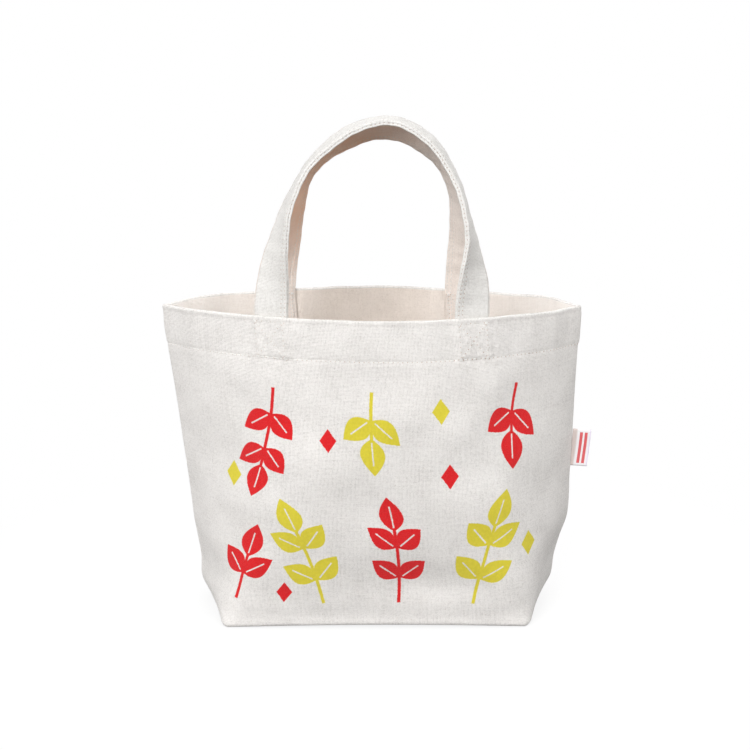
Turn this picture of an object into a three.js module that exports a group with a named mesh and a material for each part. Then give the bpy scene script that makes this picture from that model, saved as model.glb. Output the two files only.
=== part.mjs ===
// A small boxed-bottom canvas tote: two sewn panels, two strap handles, tape-bound seams,
// thread rows and a folded side label. Millimetres, +Z up, front towards -Y, and the origin
// on the underside of the base, at its middle.
import * as THREE from "three";

// Canvas body
const PANEL_WIDTH = 300; // one panel across, from side seam to side seam, lying flat
const GUSSET_DEPTH = 100; // depth of the boxed base
const SEAM_HEIGHT = 207; // height of the mouth at the side seams
const RIM_CROWN = 3; // rise of the rim from the seams to the middle of a panel
const MOUTH_TURN = 42; // degrees a half panel turns between its middle and the seam, at the mouth
const SIDE_TURN = 23; // further degrees of that turn, low on the body
const FOLD_REACH = 7; // height over which the square base folds fade out
const FOLD_RADIUS = 2; // half width of the folds at the corners of the base
const FOLD_FLARE = 0.4; // how fast the folds lean out as they leave the base, across per height
const FLARE_REACH = 20; // height over which that lean fades out
const CANVAS = 1; // thickness of one layer of canvas
const HEM_DEPTH = 28; // height of the hem turned in at the mouth
const HEM_THICKNESS = 2.4; // all layers of the hem
const HEM_STEP = 1; // height over which the hem thins to one layer
const PANEL_GAP = 0.3; // room between the two panels along their seams
const SEAT_GAP = 0.3; // room between a sewn piece and the cloth that it lies on

// Strap handles
const STRAP_WIDTH = 23;
const STRAP_THICKNESS = 2;
const STRAP_SPACING = 129; // between the two ends of a handle, along the rim
const STRAP_MARGIN = 2; // end of a strap to the lower edge of the hem
const ROOT_GAP = 0.5; // room between a sewn end and the free strap above it
const ROOT_LEAN = 7; // degrees a strap leans in where it leaves the hem
const ROOT_REACH = 15; // length over which it takes up its own lean
const FRONT_RISE = 121; // free strap above the rim
const FRONT_SQUARENESS = 2.26; // exponent of the arch: 2 is an ellipse
const FRONT_LEAN = 4; // degrees the arch leans in
const FRONT_TWIST = 78; // degrees of strap twist at the top of the arch
const FRONT_TWIST_END = 0.5; // share of the half arch that takes up the twist
const BACK_RISE = 124; // the back arch leans further, so that its top lies under the front one
const BACK_SQUARENESS = 2.2; // exponent of the back arch
const BACK_LEAN = 25.5; // degrees the back arch leans in
const BACK_TWIST = -48; // degrees of strap twist at its top
const BACK_TWIST_END = 0.4; // share of its half arch that takes up the twist

// Thread rows
const THREAD = 0.7; // thickness of a thread row
const HEM_ROW_MARGIN = 2; // the hem's row to the hem's lower edge
const HEM_ROW_INSET = 3; // from the side seam to the end of the row
const BOX_INSET = 2.5; // edge of a strap to the crossed box that holds its end
const BOX_DROP = 3; // rim to the top of the box, and its foot to the end of the strap
const BOX_LINE = 1; // width of the box's lines
const EDGE_ROW_INSET = 1.5; // strap edge to its first row
const ROW_PITCH = 3; // first row to second row

// Seam tape
const TAPE_WIDTH = 8;
const TAPE_THICKNESS = 2.4; // bound seam allowance
const TAPE_GAP = 0.6; // room between a bound side seam and the panels beside it
const GUSSET_TAPE_INSET = 9; // from a corner of the base to the end of its bound seam
const BASE_TAPE_WIDTH = 10;
const BASE_TAPE_THICKNESS = 1.2; // seam pressed open under a flat tape

// Side label
const LABEL_REACH = 12;
const LABEL_HEIGHT = 27;
const LABEL_LOW = 95; // base to the label's lower edge
const LABEL_LAYER = 0.5;
const LABEL_BORE = 0.4; // room between the two layers
const LABEL_GAP = 0.6; // room between the label and the seam
const LABEL_FOLD_STEPS = 6;

const CANVAS_COLOR = 0xece8e3;
const STRAP_COLOR = 0xefece8;
const THREAD_COLOR = 0xf4f1ec;
const TAPE_COLOR = 0xe2d9cc;
const LABEL_COLOR = 0xf7f5f2;
const CLOTH_ROUGHNESS = 0.95;
const LABEL_ROUGHNESS = 0.7;

const radians = THREE.MathUtils.degToRad;
const HALF_PANEL = PANEL_WIDTH / 2;
const HALF_BASE = HALF_PANEL - GUSSET_DEPTH / 2;

function clothMaterial(color, roughness = CLOTH_ROUGHNESS) {
  return new THREE.MeshStandardMaterial({ color, roughness, metalness: 0 });
}

// Height of the rim above the base, at a distance across the panel.
function rimHeight(across) {
  return SEAM_HEIGHT + RIM_CROWN * (1 - (across / HALF_PANEL) ** 2);
}

// How a half panel bends at a given rise, 0 at the base and 1 at the rim: it runs straight
// to bendStart, turns evenly up to bendEnd and runs straight on to the seam.
function bendAt(rise) {
  const fold = (1 - rise) ** 2;
  const height = rise * SEAM_HEIGHT;
  const squareness = Math.exp(-height / FOLD_REACH);
  const flare = FOLD_FLARE * height * Math.exp(-height / FLARE_REACH);
  const softTurn = MOUTH_TURN + SIDE_TURN * (1 - rise);
  return {
    turn: radians(softTurn + (90 - MOUTH_TURN - SIDE_TURN) * squareness),
    bendStart: (HALF_BASE - FOLD_RADIUS) * fold + flare,
    bendEnd: HALF_PANEL - (GUSSET_DEPTH / 2 - FOLD_RADIUS) * fold + flare,
  };
}

// Point on the outside of the front panel. The panel keeps its width at every height, so
// its depth at the middle follows from how far it turns on the way to the seam.
function wallPoint(across, rise) {
  const { turn, bendStart, bendEnd } = bendAt(rise);
  const distance = Math.abs(across);
  const radius = (bendEnd - bendStart) / turn;
  const angle = turn * THREE.MathUtils.clamp((distance - bendStart) / (bendEnd - bendStart), 0, 1);
  const past = Math.max(distance - bendEnd, 0);
  const width = Math.min(distance, bendStart) + radius * Math.sin(angle) + past * Math.cos(turn);
  const back = radius * (1 - Math.cos(angle)) + past * Math.sin(turn);
  const depth = radius * (1 - Math.cos(turn)) + (HALF_PANEL - bendEnd) * Math.sin(turn);
  const y = back - depth - PANEL_GAP / 2;
  return new THREE.Vector3(Math.sign(across) * width, y, rise * rimHeight(across));
}

// Point at a depth inside the cloth's outer face (negative is outside it), a drop below the rim.
const NORMAL_STEP = 0.5; // distance over which the cloth's direction is taken

function clothPoint(across, drop, depth) {
  const rise = 1 - drop / rimHeight(across);
  const riseStep = NORMAL_STEP / SEAM_HEIGHT;
  const along = wallPoint(across + NORMAL_STEP, rise).sub(wallPoint(across - NORMAL_STEP, rise));
  const up = wallPoint(across, rise).sub(wallPoint(across, rise - riseStep));
  const outward = along.cross(up).normalize();
  return wallPoint(across, rise).addScaledVector(outward, -depth);
}

// Closed solid between two matching grids of points, with its edges walled in.
function slabGeometry(outer, inner) {
  const rows = outer.length;
  const columns = outer[0].length;
  const count = rows * columns;
  const positions = [...outer.flat(), ...inner.flat()].flatMap((point) => point.toArray());
  const indices = [];
  const quad = (a, b, c, d) => indices.push(a, b, c, a, c, d);
  const at = (row, column) => row * columns + column;
  for (let row = 0; row < rows - 1; row += 1) {
    for (let column = 0; column < columns - 1; column += 1) {
      const [a, b] = [at(row, column), at(row, column + 1)];
      const [c, d] = [at(row + 1, column + 1), at(row + 1, column)];
      const isLeftHalf = column < (columns - 1) / 2;
      const corners = isLeftHalf ? [a, b, c, d] : [b, c, d, a];
      const back = isLeftHalf ? [a, d, c, b] : [b, a, d, c];
      quad(...corners);
      quad(...back.map((index) => index + count));
    }
  }
  const wall = (a, b) => quad(b, a, a + count, b + count);
  for (let column = 0; column < columns - 1; column += 1) {
    wall(at(0, column), at(0, column + 1));
    wall(at(rows - 1, column + 1), at(rows - 1, column));
  }
  for (let row = 0; row < rows - 1; row += 1) {
    wall(at(row + 1, 0), at(row, 0));
    wall(at(row, columns - 1), at(row + 1, columns - 1));
  }
  const geometry = new THREE.BufferGeometry();
  geometry.setAttribute("position", new THREE.Float32BufferAttribute(positions, 3));
  geometry.setIndex(indices);
  geometry.computeVertexNormals();
  return geometry;
}

// Solid swept through a list of rings, each a closed loop of points in the same order.
function ringGeometry(rings) {
  const sides = rings[0].length;
  const last = (rings.length - 1) * sides;
  const indices = [];
  for (let ring = 0; ring < rings.length - 1; ring += 1) {
    for (let side = 0; side < sides; side += 1) {
      const a = ring * sides + side;
      const b = ring * sides + ((side + 1) % sides);
      indices.push(a, b, b + sides, a, b + sides, a + sides);
    }
  }
  for (let side = 1; side < sides - 1; side += 1) {
    indices.push(0, side + 1, side);
    indices.push(last, last + side, last + side + 1);
  }
  const geometry = new THREE.BufferGeometry();
  const positions = rings.flat().flatMap((point) => point.toArray());
  geometry.setAttribute("position", new THREE.Float32BufferAttribute(positions, 3));
  geometry.setIndex(indices);
  geometry.computeVertexNormals();
  return geometry;
}

function steps(from, to, count) {
  return Array.from({ length: count + 1 }, (_, index) => from + ((to - from) * index) / count);
}

// One panel: half of the base, the wall up to the rim and the hem turned in at the top.
// The wall's rows stand closer together near the base, where it bends most.
const PANEL_COLUMNS = 24;
const BASE_ROWS = 3;
const BASE_ROW_INSET = 12; // the base's rows close up towards a line this much shorter than the base
const WALL_ROWS = 12;
const HEM_RISE = 1 - HEM_DEPTH / SEAM_HEIGHT;
const STEP_RISE = HEM_RISE - HEM_STEP / SEAM_HEIGHT;
const WALL_RISES = steps(0, 1, WALL_ROWS).map((share) => STEP_RISE * share ** 2);

function panelGeometry() {
  const acrossSteps = steps(-HALF_PANEL, HALF_PANEL, PANEL_COLUMNS);
  const middleShare = (HALF_BASE - BASE_ROW_INSET) / HALF_PANEL;
  const rows = [];
  for (let row = BASE_ROWS; row > 0; row -= 1) {
    const inward = row / BASE_ROWS;
    const points = acrossSteps.map((across) => {
      const middle = new THREE.Vector3(across * middleShare, -PANEL_GAP / 2, 0);
      return wallPoint(across, 0).lerp(middle, inward);
    });
    rows.push({ points, thickness: CANVAS });
  }
  const addRow = (rise, thickness) => {
    rows.push({ points: acrossSteps.map((across) => wallPoint(across, rise)), thickness });
  };
  WALL_RISES.forEach((rise) => addRow(rise, CANVAS));
  addRow(HEM_RISE, HEM_THICKNESS);
  addRow(1, HEM_THICKNESS);

  const outer = rows.map((row) => row.points);
  const inner = outer.map((points, row) =>
    points.map((point, column) => innerPoint(outer, row, column, rows[row].thickness)));
  return slabGeometry(outer, inner);
}

// Inner face of a grid of cloth: each point moves in until it lies a full thickness behind
// every face around it, and a point on the seam plane stays on that plane.
const OFFSET_PASSES = 60;

function innerPoint(outer, row, column, thickness) {
  const here = outer[row][column];
  const normals = [];
  for (const rowSide of [-1, 1]) {
    for (const columnSide of [-1, 1]) {
      const up = outer[row + rowSide]?.[column];
      const across = outer[row][column + columnSide];
      if (up === undefined || across === undefined) continue;
      const normal = across.clone().sub(here).cross(up.clone().sub(here));
      normals.push(normal.multiplyScalar(rowSide * columnSide).normalize());
    }
  }
  const onSeam = column === 0 || column === outer[0].length - 1;
  const move = new THREE.Vector3();
  for (let pass = 0; pass < OFFSET_PASSES; pass += 1) {
    for (const normal of normals) {
      move.addScaledVector(normal, -thickness - move.dot(normal));
      if (onSeam) move.y = 0;
    }
  }
  return here.clone().add(move);
}

// A strap's sewn end, flat against the inside of the hem.
const END_COLUMNS = 4;
const STRAP_DEPTH = HEM_THICKNESS + SEAT_GAP;
const STRAP_SEWN = HEM_DEPTH - STRAP_MARGIN;

// A strip of points along the panel, from a lower drop to an upper one.
function clothStrip(acrossSteps, lowDrop, highDrop, depth) {
  return [lowDrop, highDrop].map((drop) => acrossSteps.map((across) => clothPoint(across, drop, depth)));
}

function strapEndGeometry(middle) {
  const acrossSteps = steps(middle - STRAP_WIDTH / 2, middle + STRAP_WIDTH / 2, END_COLUMNS);
  const outer = clothStrip(acrossSteps, STRAP_SEWN, 0, STRAP_DEPTH);
  const inner = clothStrip(acrossSteps, STRAP_SEWN, 0, STRAP_DEPTH + STRAP_THICKNESS);
  return slabGeometry(outer, inner);
}

// The free arch of a handle. Its centre line is a superellipse in a plane that leans in from
// the rim, and the strap twists from lying flat on the hem to nearly edge-on at the top.
const ARCH_STEPS = 40;
const STRAP_END = STRAP_SPACING / 2;

function smoothRamp(share, end) {
  const ramp = THREE.MathUtils.clamp(share / end, 0, 1);
  return ramp * ramp * (3 - 2 * ramp);
}

// side is -1 on the front handle and 1 on the back one.
function archFrames({ side, rise: archRise, squareness, lean: leanDegrees, twist, twistEnd }) {
  const root = clothPoint(STRAP_END, 0, STRAP_DEPTH + STRAP_THICKNESS / 2);
  const lean = radians(leanDegrees);
  const slopeChange = Math.tan(radians(ROOT_LEAN)) - Math.tan(lean);
  const rootTurn = radians(MOUTH_TURN) * (STRAP_END / HALF_PANEL);
  const power = 2 / squareness;
  const centres = steps(0, Math.PI, ARCH_STEPS).map((angle) => {
    const swing = -Math.cos(angle);
    const rise = archRise * Math.abs(Math.sin(angle)) ** power;
    const x = root.x * Math.sign(swing) * Math.abs(swing) ** power;
    const rootBend = slopeChange * ROOT_REACH * (1 - Math.exp(-rise / ROOT_REACH));
    const height = root.z + ROOT_GAP + rise * Math.cos(lean);
    return new THREE.Vector3(x, -side * (root.y + rise * Math.sin(lean) + rootBend), height);
  });
  return centres.map((centre, index) => {
    const before = centres[Math.max(index - 1, 0)];
    const after = centres[Math.min(index + 1, ARCH_STEPS)];
    const along = after.clone().sub(before);
    const rise = (centre.z - root.z - ROOT_GAP) / Math.cos(lean);
    const slope = Math.tan(lean) + slopeChange * Math.exp(-rise / ROOT_REACH);
    const forward = new THREE.Vector3(0, -1, -side * slope).normalize();
    if (index === 0 || index === ARCH_STEPS) along.set(0, -side * slope, index === 0 ? 1 : -1);
    along.normalize();
    const inward = new THREE.Vector3().crossVectors(along, forward).normalize();
    const share = 1 - Math.abs((2 * index) / ARCH_STEPS - 1);
    const start = -side * rootTurn;
    const angle = start + (radians(twist) - start) * smoothRamp(share, twistEnd);
    const width = inward.multiplyScalar(Math.cos(angle)).addScaledVector(forward, Math.sin(angle));
    const face = new THREE.Vector3().crossVectors(width, along).normalize();
    return { centre, width, face };
  });
}

const frontFrames = archFrames({
  side: -1,
  rise: FRONT_RISE,
  squareness: FRONT_SQUARENESS,
  lean: FRONT_LEAN,
  twist: FRONT_TWIST,
  twistEnd: FRONT_TWIST_END,
});

const backFrames = archFrames({
  side: 1,
  rise: BACK_RISE,
  squareness: BACK_SQUARENESS,
  lean: BACK_LEAN,
  twist: BACK_TWIST,
  twistEnd: BACK_TWIST_END,
});

// A bar of rectangular section along an arch, placed by its offsets across and out of the
// strap, with its faces split across so that they follow the twist.
function archBar(frames, acrossFrom, acrossTo, outFrom, outTo, columns = 1) {
  const acrossSteps = steps(acrossFrom, acrossTo, columns);
  const outline = [
    ...acrossSteps.map((across) => [across, outTo]),
    ...acrossSteps.reverse().map((across) => [across, outFrom]),
  ];
  const ring = ({ centre, width, face }) => outline.map(([across, out]) =>
    centre.clone().addScaledVector(width, across).addScaledVector(face, out));
  return ringGeometry(frames.map(ring));
}

const STRAP_COLUMNS = 4;

function strapGeometry(frames) {
  const halfWidth = STRAP_WIDTH / 2;
  const halfThickness = STRAP_THICKNESS / 2;
  return archBar(frames, -halfWidth, halfWidth, -halfThickness, halfThickness, STRAP_COLUMNS);
}

// A row of topstitching beside the edge where the strap is closed, on the face that is
// turned away from the bag's inside: 1 on the front handle, -1 on the back one.
function strapRowGeometry(frames, inset, outward) {
  const across = STRAP_WIDTH / 2 - inset;
  const out = outward * (STRAP_THICKNESS / 2 + SEAT_GAP + THREAD / 2);
  const half = THREAD / 2;
  return archBar(frames, across - half, across + half, out - half, out + half);
}

// The row of stitches that holds the hem, on the outside of a panel.
const HEM_ROW_STEPS = 24;
const HEM_ROW_DROP = HEM_DEPTH - HEM_ROW_MARGIN;

function hemRowGeometry() {
  const end = HALF_PANEL - HEM_ROW_INSET;
  const acrossSteps = steps(-end, end, HEM_ROW_STEPS);
  const [low, high] = [HEM_ROW_DROP + THREAD / 2, HEM_ROW_DROP - THREAD / 2];
  const outer = clothStrip(acrossSteps, low, high, -SEAT_GAP - THREAD);
  const inner = clothStrip(acrossSteps, low, high, -SEAT_GAP);
  return slabGeometry(outer, inner);
}

// The crossed box of stitches over a strap end: a frame with two diagonals, bent to the panel.
function boxStitchGeometry(middle) {
  const halfWidth = STRAP_WIDTH / 2 - BOX_INSET;
  const halfHeight = STRAP_SEWN / 2 - BOX_DROP;
  const outline = new THREE.Shape();
  outline.moveTo(-halfWidth, -halfHeight);
  outline.lineTo(halfWidth, -halfHeight);
  outline.lineTo(halfWidth, halfHeight);
  outline.lineTo(-halfWidth, halfHeight);
  outline.closePath();
  const innerWidth = halfWidth - BOX_LINE;
  const innerHeight = halfHeight - BOX_LINE;
  const slant = Math.hypot(innerWidth, innerHeight);
  const sideCut = (BOX_LINE / 2) * (slant / innerWidth);
  const endCut = (BOX_LINE / 2) * (slant / innerHeight);
  const windows = [
    [[innerWidth, -innerHeight + sideCut], [innerWidth, innerHeight - sideCut], [endCut, 0]],
    [[-innerWidth, innerHeight - sideCut], [-innerWidth, -innerHeight + sideCut], [-endCut, 0]],
    [[innerWidth - endCut, innerHeight], [-innerWidth + endCut, innerHeight], [0, sideCut]],
    [[-innerWidth + endCut, -innerHeight], [innerWidth - endCut, -innerHeight], [0, -sideCut]],
  ];
  for (const corners of windows) {
    outline.holes.push(new THREE.Path(corners.map(([x, y]) => new THREE.Vector2(x, y))));
  }
  const geometry = new THREE.ExtrudeGeometry(outline, { depth: THREAD, bevelEnabled: false });
  const position = geometry.getAttribute("position");
  for (let index = 0; index < position.count; index += 1) {
    const across = middle + position.getX(index);
    const drop = BOX_DROP + halfHeight - position.getY(index);
    const point = clothPoint(across, drop, -SEAT_GAP - position.getZ(index));
    position.setXYZ(index, point.x, point.y, point.z);
  }
  geometry.computeVertexNormals();
  return geometry;
}

// Bound seam allowance on the inside of the right side seam. It stands in from the corner
// that the two panels make, as far as its own thickness needs, and follows the panels' rows.
const GUSSET_TAPE_TOP = CANVAS + SEAT_GAP + TAPE_WIDTH;

function sideTapeGeometry() {
  const half = TAPE_THICKNESS / 2;
  const rises = WALL_RISES.filter((rise) => rise * SEAM_HEIGHT > GUSSET_TAPE_TOP + SEAT_GAP);
  const layer = (y) => rises.map((rise) => {
    const { turn } = bendAt(rise);
    const seam = wallPoint(HALF_PANEL, rise);
    const corner = seam.x - CANVAS / Math.sin(turn);
    const outerEdge = corner - half / Math.tan(turn) - TAPE_GAP / Math.sin(turn);
    return [outerEdge - TAPE_WIDTH, outerEdge].map((x) => new THREE.Vector3(x, y, seam.z));
  });
  return slabGeometry(layer(-half), layer(half));
}

// Bound seam at the short end of the base, standing on the base beside the side wall.
function gussetTapeGeometry() {
  return new THREE.BoxGeometry(TAPE_THICKNESS, GUSSET_DEPTH - 2 * GUSSET_TAPE_INSET, TAPE_WIDTH);
}

const GUSSET_TAPE_X = HALF_BASE - CANVAS - SEAT_GAP - TAPE_THICKNESS / 2;

// Flat tape over the seam along the middle of the base.
function baseTapeGeometry() {
  const length = 2 * (GUSSET_TAPE_X - TAPE_THICKNESS / 2 - SEAT_GAP);
  return new THREE.BoxGeometry(length, BASE_TAPE_WIDTH, BASE_TAPE_THICKNESS);
}

// Woven label folded in two, its open ends at the seam and its fold outward.
function labelGeometry() {
  const outerRadius = LABEL_LAYER + LABEL_BORE / 2;
  const innerRadius = LABEL_BORE / 2;
  const foldX = LABEL_REACH - outerRadius;
  const outline = new THREE.Shape();
  outline.moveTo(0, -outerRadius);
  outline.lineTo(foldX, -outerRadius);
  outline.absarc(foldX, 0, outerRadius, -Math.PI / 2, Math.PI / 2, false);
  outline.lineTo(0, outerRadius);
  outline.lineTo(0, innerRadius);
  outline.lineTo(foldX, innerRadius);
  outline.absarc(foldX, 0, innerRadius, Math.PI / 2, -Math.PI / 2, true);
  outline.lineTo(0, -innerRadius);
  outline.closePath();
  const options = { depth: LABEL_HEIGHT, bevelEnabled: false, curveSegments: LABEL_FOLD_STEPS };
  return new THREE.ExtrudeGeometry(outline, options);
}

const bag = new THREE.Group();
const canvas = clothMaterial(CANVAS_COLOR);
const strap = clothMaterial(STRAP_COLOR);
const thread = clothMaterial(THREAD_COLOR);
const tape = clothMaterial(TAPE_COLOR);
const weave = clothMaterial(LABEL_COLOR, LABEL_ROUGHNESS);

function addPiece(parent, name, geometry, material) {
  const piece = new THREE.Mesh(geometry, material.clone());
  piece.name = name;
  parent.add(piece);
  return piece;
}

// The two halves are alike, and the back one is turned half round.
for (const half of ["front", "back"]) {
  const group = new THREE.Group();
  group.rotation.z = half === "front" ? 0 : Math.PI;
  bag.add(group);
  addPiece(group, `${half}_panel`, panelGeometry(), canvas);
  addPiece(group, `${half}_hem_stitch`, hemRowGeometry(), thread);
  for (const end of [-1, 1]) {
    const isLeft = half === "front" ? end < 0 : end > 0;
    const sideName = isLeft ? "left" : "right";
    addPiece(group, `${half}_${sideName}_strap_end`, strapEndGeometry(end * STRAP_END), strap);
    addPiece(group, `${half}_${sideName}_box_stitch`, boxStitchGeometry(end * STRAP_END), thread);
  }
}

for (const [half, frames, outward] of [["front", frontFrames, 1], ["back", backFrames, -1]]) {
  addPiece(bag, `${half}_handle`, strapGeometry(frames), strap);
  addPiece(bag, `${half}_handle_edge_stitch`, strapRowGeometry(frames, EDGE_ROW_INSET, outward), thread);
  const secondRow = strapRowGeometry(frames, EDGE_ROW_INSET + ROW_PITCH, outward);
  addPiece(bag, `${half}_handle_inner_stitch`, secondRow, thread);
}

for (const side of ["right", "left"]) {
  const group = new THREE.Group();
  group.rotation.z = side === "right" ? 0 : Math.PI;
  bag.add(group);
  addPiece(group, `${side}_side_tape`, sideTapeGeometry(), tape);
  const gussetTape = addPiece(group, `${side}_gusset_tape`, gussetTapeGeometry(), tape);
  gussetTape.position.set(GUSSET_TAPE_X, 0, CANVAS + SEAT_GAP + TAPE_WIDTH / 2);
}

const baseTape = addPiece(bag, "base_seam_tape", baseTapeGeometry(), tape);
baseTape.position.z = CANVAS + SEAT_GAP + BASE_TAPE_THICKNESS / 2;

const labelFoot = wallPoint(HALF_PANEL, LABEL_LOW / SEAM_HEIGHT);
const labelHead = wallPoint(HALF_PANEL, (LABEL_LOW + LABEL_HEIGHT) / SEAM_HEIGHT);
const label = addPiece(bag, "side_label", labelGeometry(), weave);
label.position.set(labelFoot.x + LABEL_GAP, 0, labelFoot.z);
label.rotation.y = Math.atan2(labelHead.x - labelFoot.x, LABEL_HEIGHT);

export default bag;
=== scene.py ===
import bpy
import numpy as np
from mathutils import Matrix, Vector


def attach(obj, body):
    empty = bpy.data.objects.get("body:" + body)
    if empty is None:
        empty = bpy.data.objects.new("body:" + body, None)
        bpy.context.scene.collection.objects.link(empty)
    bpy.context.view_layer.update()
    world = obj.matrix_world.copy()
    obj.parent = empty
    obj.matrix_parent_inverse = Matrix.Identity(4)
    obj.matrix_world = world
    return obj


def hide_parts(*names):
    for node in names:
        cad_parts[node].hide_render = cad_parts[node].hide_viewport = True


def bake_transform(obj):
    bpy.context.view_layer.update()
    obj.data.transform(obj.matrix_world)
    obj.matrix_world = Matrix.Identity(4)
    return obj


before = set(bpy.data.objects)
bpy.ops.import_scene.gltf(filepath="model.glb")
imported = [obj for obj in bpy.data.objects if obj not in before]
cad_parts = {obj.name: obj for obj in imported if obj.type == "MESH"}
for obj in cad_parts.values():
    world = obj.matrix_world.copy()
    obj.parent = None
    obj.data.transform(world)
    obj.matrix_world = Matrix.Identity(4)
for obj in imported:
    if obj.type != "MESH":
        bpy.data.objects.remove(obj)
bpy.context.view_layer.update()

# Canvas panels: two alike pieces of natural white cotton canvas, each cut with its half of the
# boxed base and joined at the sides and along the middle of the base. The top edge is turned in
# as a deep hem, and the cloth keeps its width at every height, so the body is a lofted shell.
PANEL_WIDTH = 0.300
GUSSET_DEPTH = 0.100
SEAM_HEIGHT = 0.207
RIM_CROWN = 0.003
MOUTH_TURN = np.radians(42)
SIDE_TURN = np.radians(23)
FOLD_REACH = 0.007
FOLD_RADIUS = 0.004
FOLD_FLARE = 0.4
FLARE_REACH = 0.020
BASE_ROUND = 0.003
PANEL_GAP = 0.0003
CANVAS = 0.001
HEM_DEPTH = 0.028
HEM_THICKNESS = 0.0024
HEM_ROW_DROP = 0.026
STRAP_WIDTH = 0.023
STRAP_END = 0.0645
SEAM_ROLL = 0.0025
HALF_PANEL = PANEL_WIDTH / 2
HALF_BASE = HALF_PANEL - GUSSET_DEPTH / 2
FACING = {"front": 1, "back": -1}
SIDES = (("left", -1), ("right", 1))
BODY_LEAN = (0.0009, 0.00755, -0.01135)
# How far each side stands out at fifteen even heights, from the base to the rim.
SIDE_FULLNESS = {
    "left": np.array((0, -0.3, -1.9, -0.4, 1.3, 1.7, 2.0, 2.3, 2.5, 2.4, 2.4, 2.4, 2.4, 2.0, 0.8)) / 1000,
    "right": np.array((-1.4, -1.7, -2.8, -0.4, 3.3, 3.4, 2.3, 1.9, 1.3, 0.9, 0.5, 0.4, 0.5, 0.6, 1.0)) / 1000,
}
# How far each rim stands above or below its even crown at thirteen even places, from left to right.
RIM_LIFT = {
    "front": np.array((1.6, 1.3, 1.0, 0.9, 0.2, 0, -0.5, -0.7, -0.7, -0.6, -0.4, -0.3, 0.6)) / 1000,
    "back": np.array((1.6, 2.5, 1.8, 0.5, 0.2, 0, 0.3, 0, -0.4, 0, 0.9, 2.6, 0.6)) / 1000,
}
BASE_SPREAD = {"left": 0.0028, "right": 0.0008}
SPREAD_REACH = 0.018
BASE_ARCH = 0.0016
ARCH_REACH = 0.010
FOOT_FULLNESS = 0.0024
FOOT_HEIGHT = 0.015
FOOT_REACH = 0.011
HEM_BULK = {"left": 0.0002, "right": 0.0008}
RIM_BEAD = 0.00045
BEAD_DROP = 0.0016
BEAD_REACH = 0.0012
SEAM_PINCH = 0.6
BULK_FADE = (0.006, 0.004)
BULK_FROM = 0.135
FULL_FROM = 0.070
FOOT_ENDS = 0.080
HEM_ZONE = HEM_DEPTH + 0.009
HEM_PUFF = 0.0003
HEM_END = (HEM_DEPTH - 0.003, HEM_DEPTH + 0.001)
ROW_PULL = 0.00035
PULL_REACH = 0.0014
PULL_PITCH = 0.0075
PULL_UNEVEN = 0.2
STRAP_PUFF = 0.0008
PUFF_EDGE = (STRAP_WIDTH / 2 - 0.001, STRAP_WIDTH / 2 + 0.0015)
PUFF_END = (HEM_ROW_DROP - 0.002, HEM_ROW_DROP + 0.0015)

# Soft unevenness of the cloth: height, wavelength, direction in degrees and phase of each wave.
BODY_WAVES = {
    "front": ((0.0009, 0.105, 25, 0.4), (0.0007, 0.071, 118, 2.1), (0.0004, 0.043, 74, 4.0)),
    "back": ((0.0009, 0.098, 62, 1.4), (0.0007, 0.069, 151, 0.3), (0.0004, 0.047, 15, 2.7)),
}
HEM_WAVES = {
    "front": ((0.00035, 0.041, 0, 0.7), (0.00025, 0.023, 0, 2.9), (0.00012, 0.009, 0, 1.1)),
    "back": ((0.00035, 0.037, 0, 2.2), (0.00025, 0.026, 0, 0.4), (0.00012, 0.0085, 0, 3.0)),
}
PUCKERS = ((0.00010, 0.0068, 15, 0.5), (0.00011, 0.0083, 74, 1.9), (0.00008, 0.0057, 128, 3.4))
# Creases: the two ends on the cloth, as across and height, then half width and height.
CREASES = {
    "front": (((0.088, 0.172), (0.030, 0.112), 0.010, 0.0009),
              ((0.066, 0.176), (0.016, 0.128), 0.008, -0.0006),
              ((0.112, 0.150), (0.070, 0.080), 0.012, 0.0010),
              ((-0.104, 0.012), (-0.076, 0.060), 0.008, 0.0012),
              ((0.104, 0.012), (0.078, 0.066), 0.008, 0.0012)),
    "back": (((-0.084, 0.170), (-0.036, 0.118), 0.010, 0.0012),
             ((0.090, 0.150), (0.048, 0.090), 0.011, -0.0010),
             ((-0.104, 0.012), (-0.078, 0.062), 0.008, 0.0012),
             ((0.104, 0.012), (0.080, 0.058), 0.008, 0.0012)),
}
# Distances from a seam, the base, the rim or a strap end over which waves, creases and puckers fade.
WAVES_FROM_SEAM = 0.035
WAVES_FROM_BASE = 0.030
WAVES_FROM_RIM = (0.010, 0.050)
WAVES_AT_RIM = 0.35
HEM_WAVES_REACH = 0.034
HEM_WAVES_FROM_SEAM = 0.020
CREASES_FROM_RIM = (0.012, 0.030)
PUCKERS_FROM_RIM = (0.001, 0.006)
PUCKERS_BESIDE = (0.010, 0.024)
# Shares of a crease's length over which it rises and falls.
CREASE_RISE = (-0.15, 0.25)
CREASE_FALL = (0.7, 1.2)
# Mesh of a panel: widths, heights and steps of its columns and rows.
EDGE_BAND = 0.004
FOOT_ROWS = (0.0045, 0.018)
WALL_START = 0.020
BELOW_STEP = 0.0008
HEM_STEP = 0.0007
HEM_LEDGE = 0.0004
BASE_SEAM_INSET = 0.012


def smooth_step(low, high, value):
    share = np.clip((value - low) / (high - low), 0, 1)
    return share * share * (3 - 2 * share)


def falling(low, high, value):
    return 1 - smooth_step(low, high, value)


def bell(distance, reach):
    return np.exp(-((distance / reach) ** 2))


def unit(vectors):
    return vectors / np.linalg.norm(vectors, axis=-1, keepdims=True)


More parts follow.
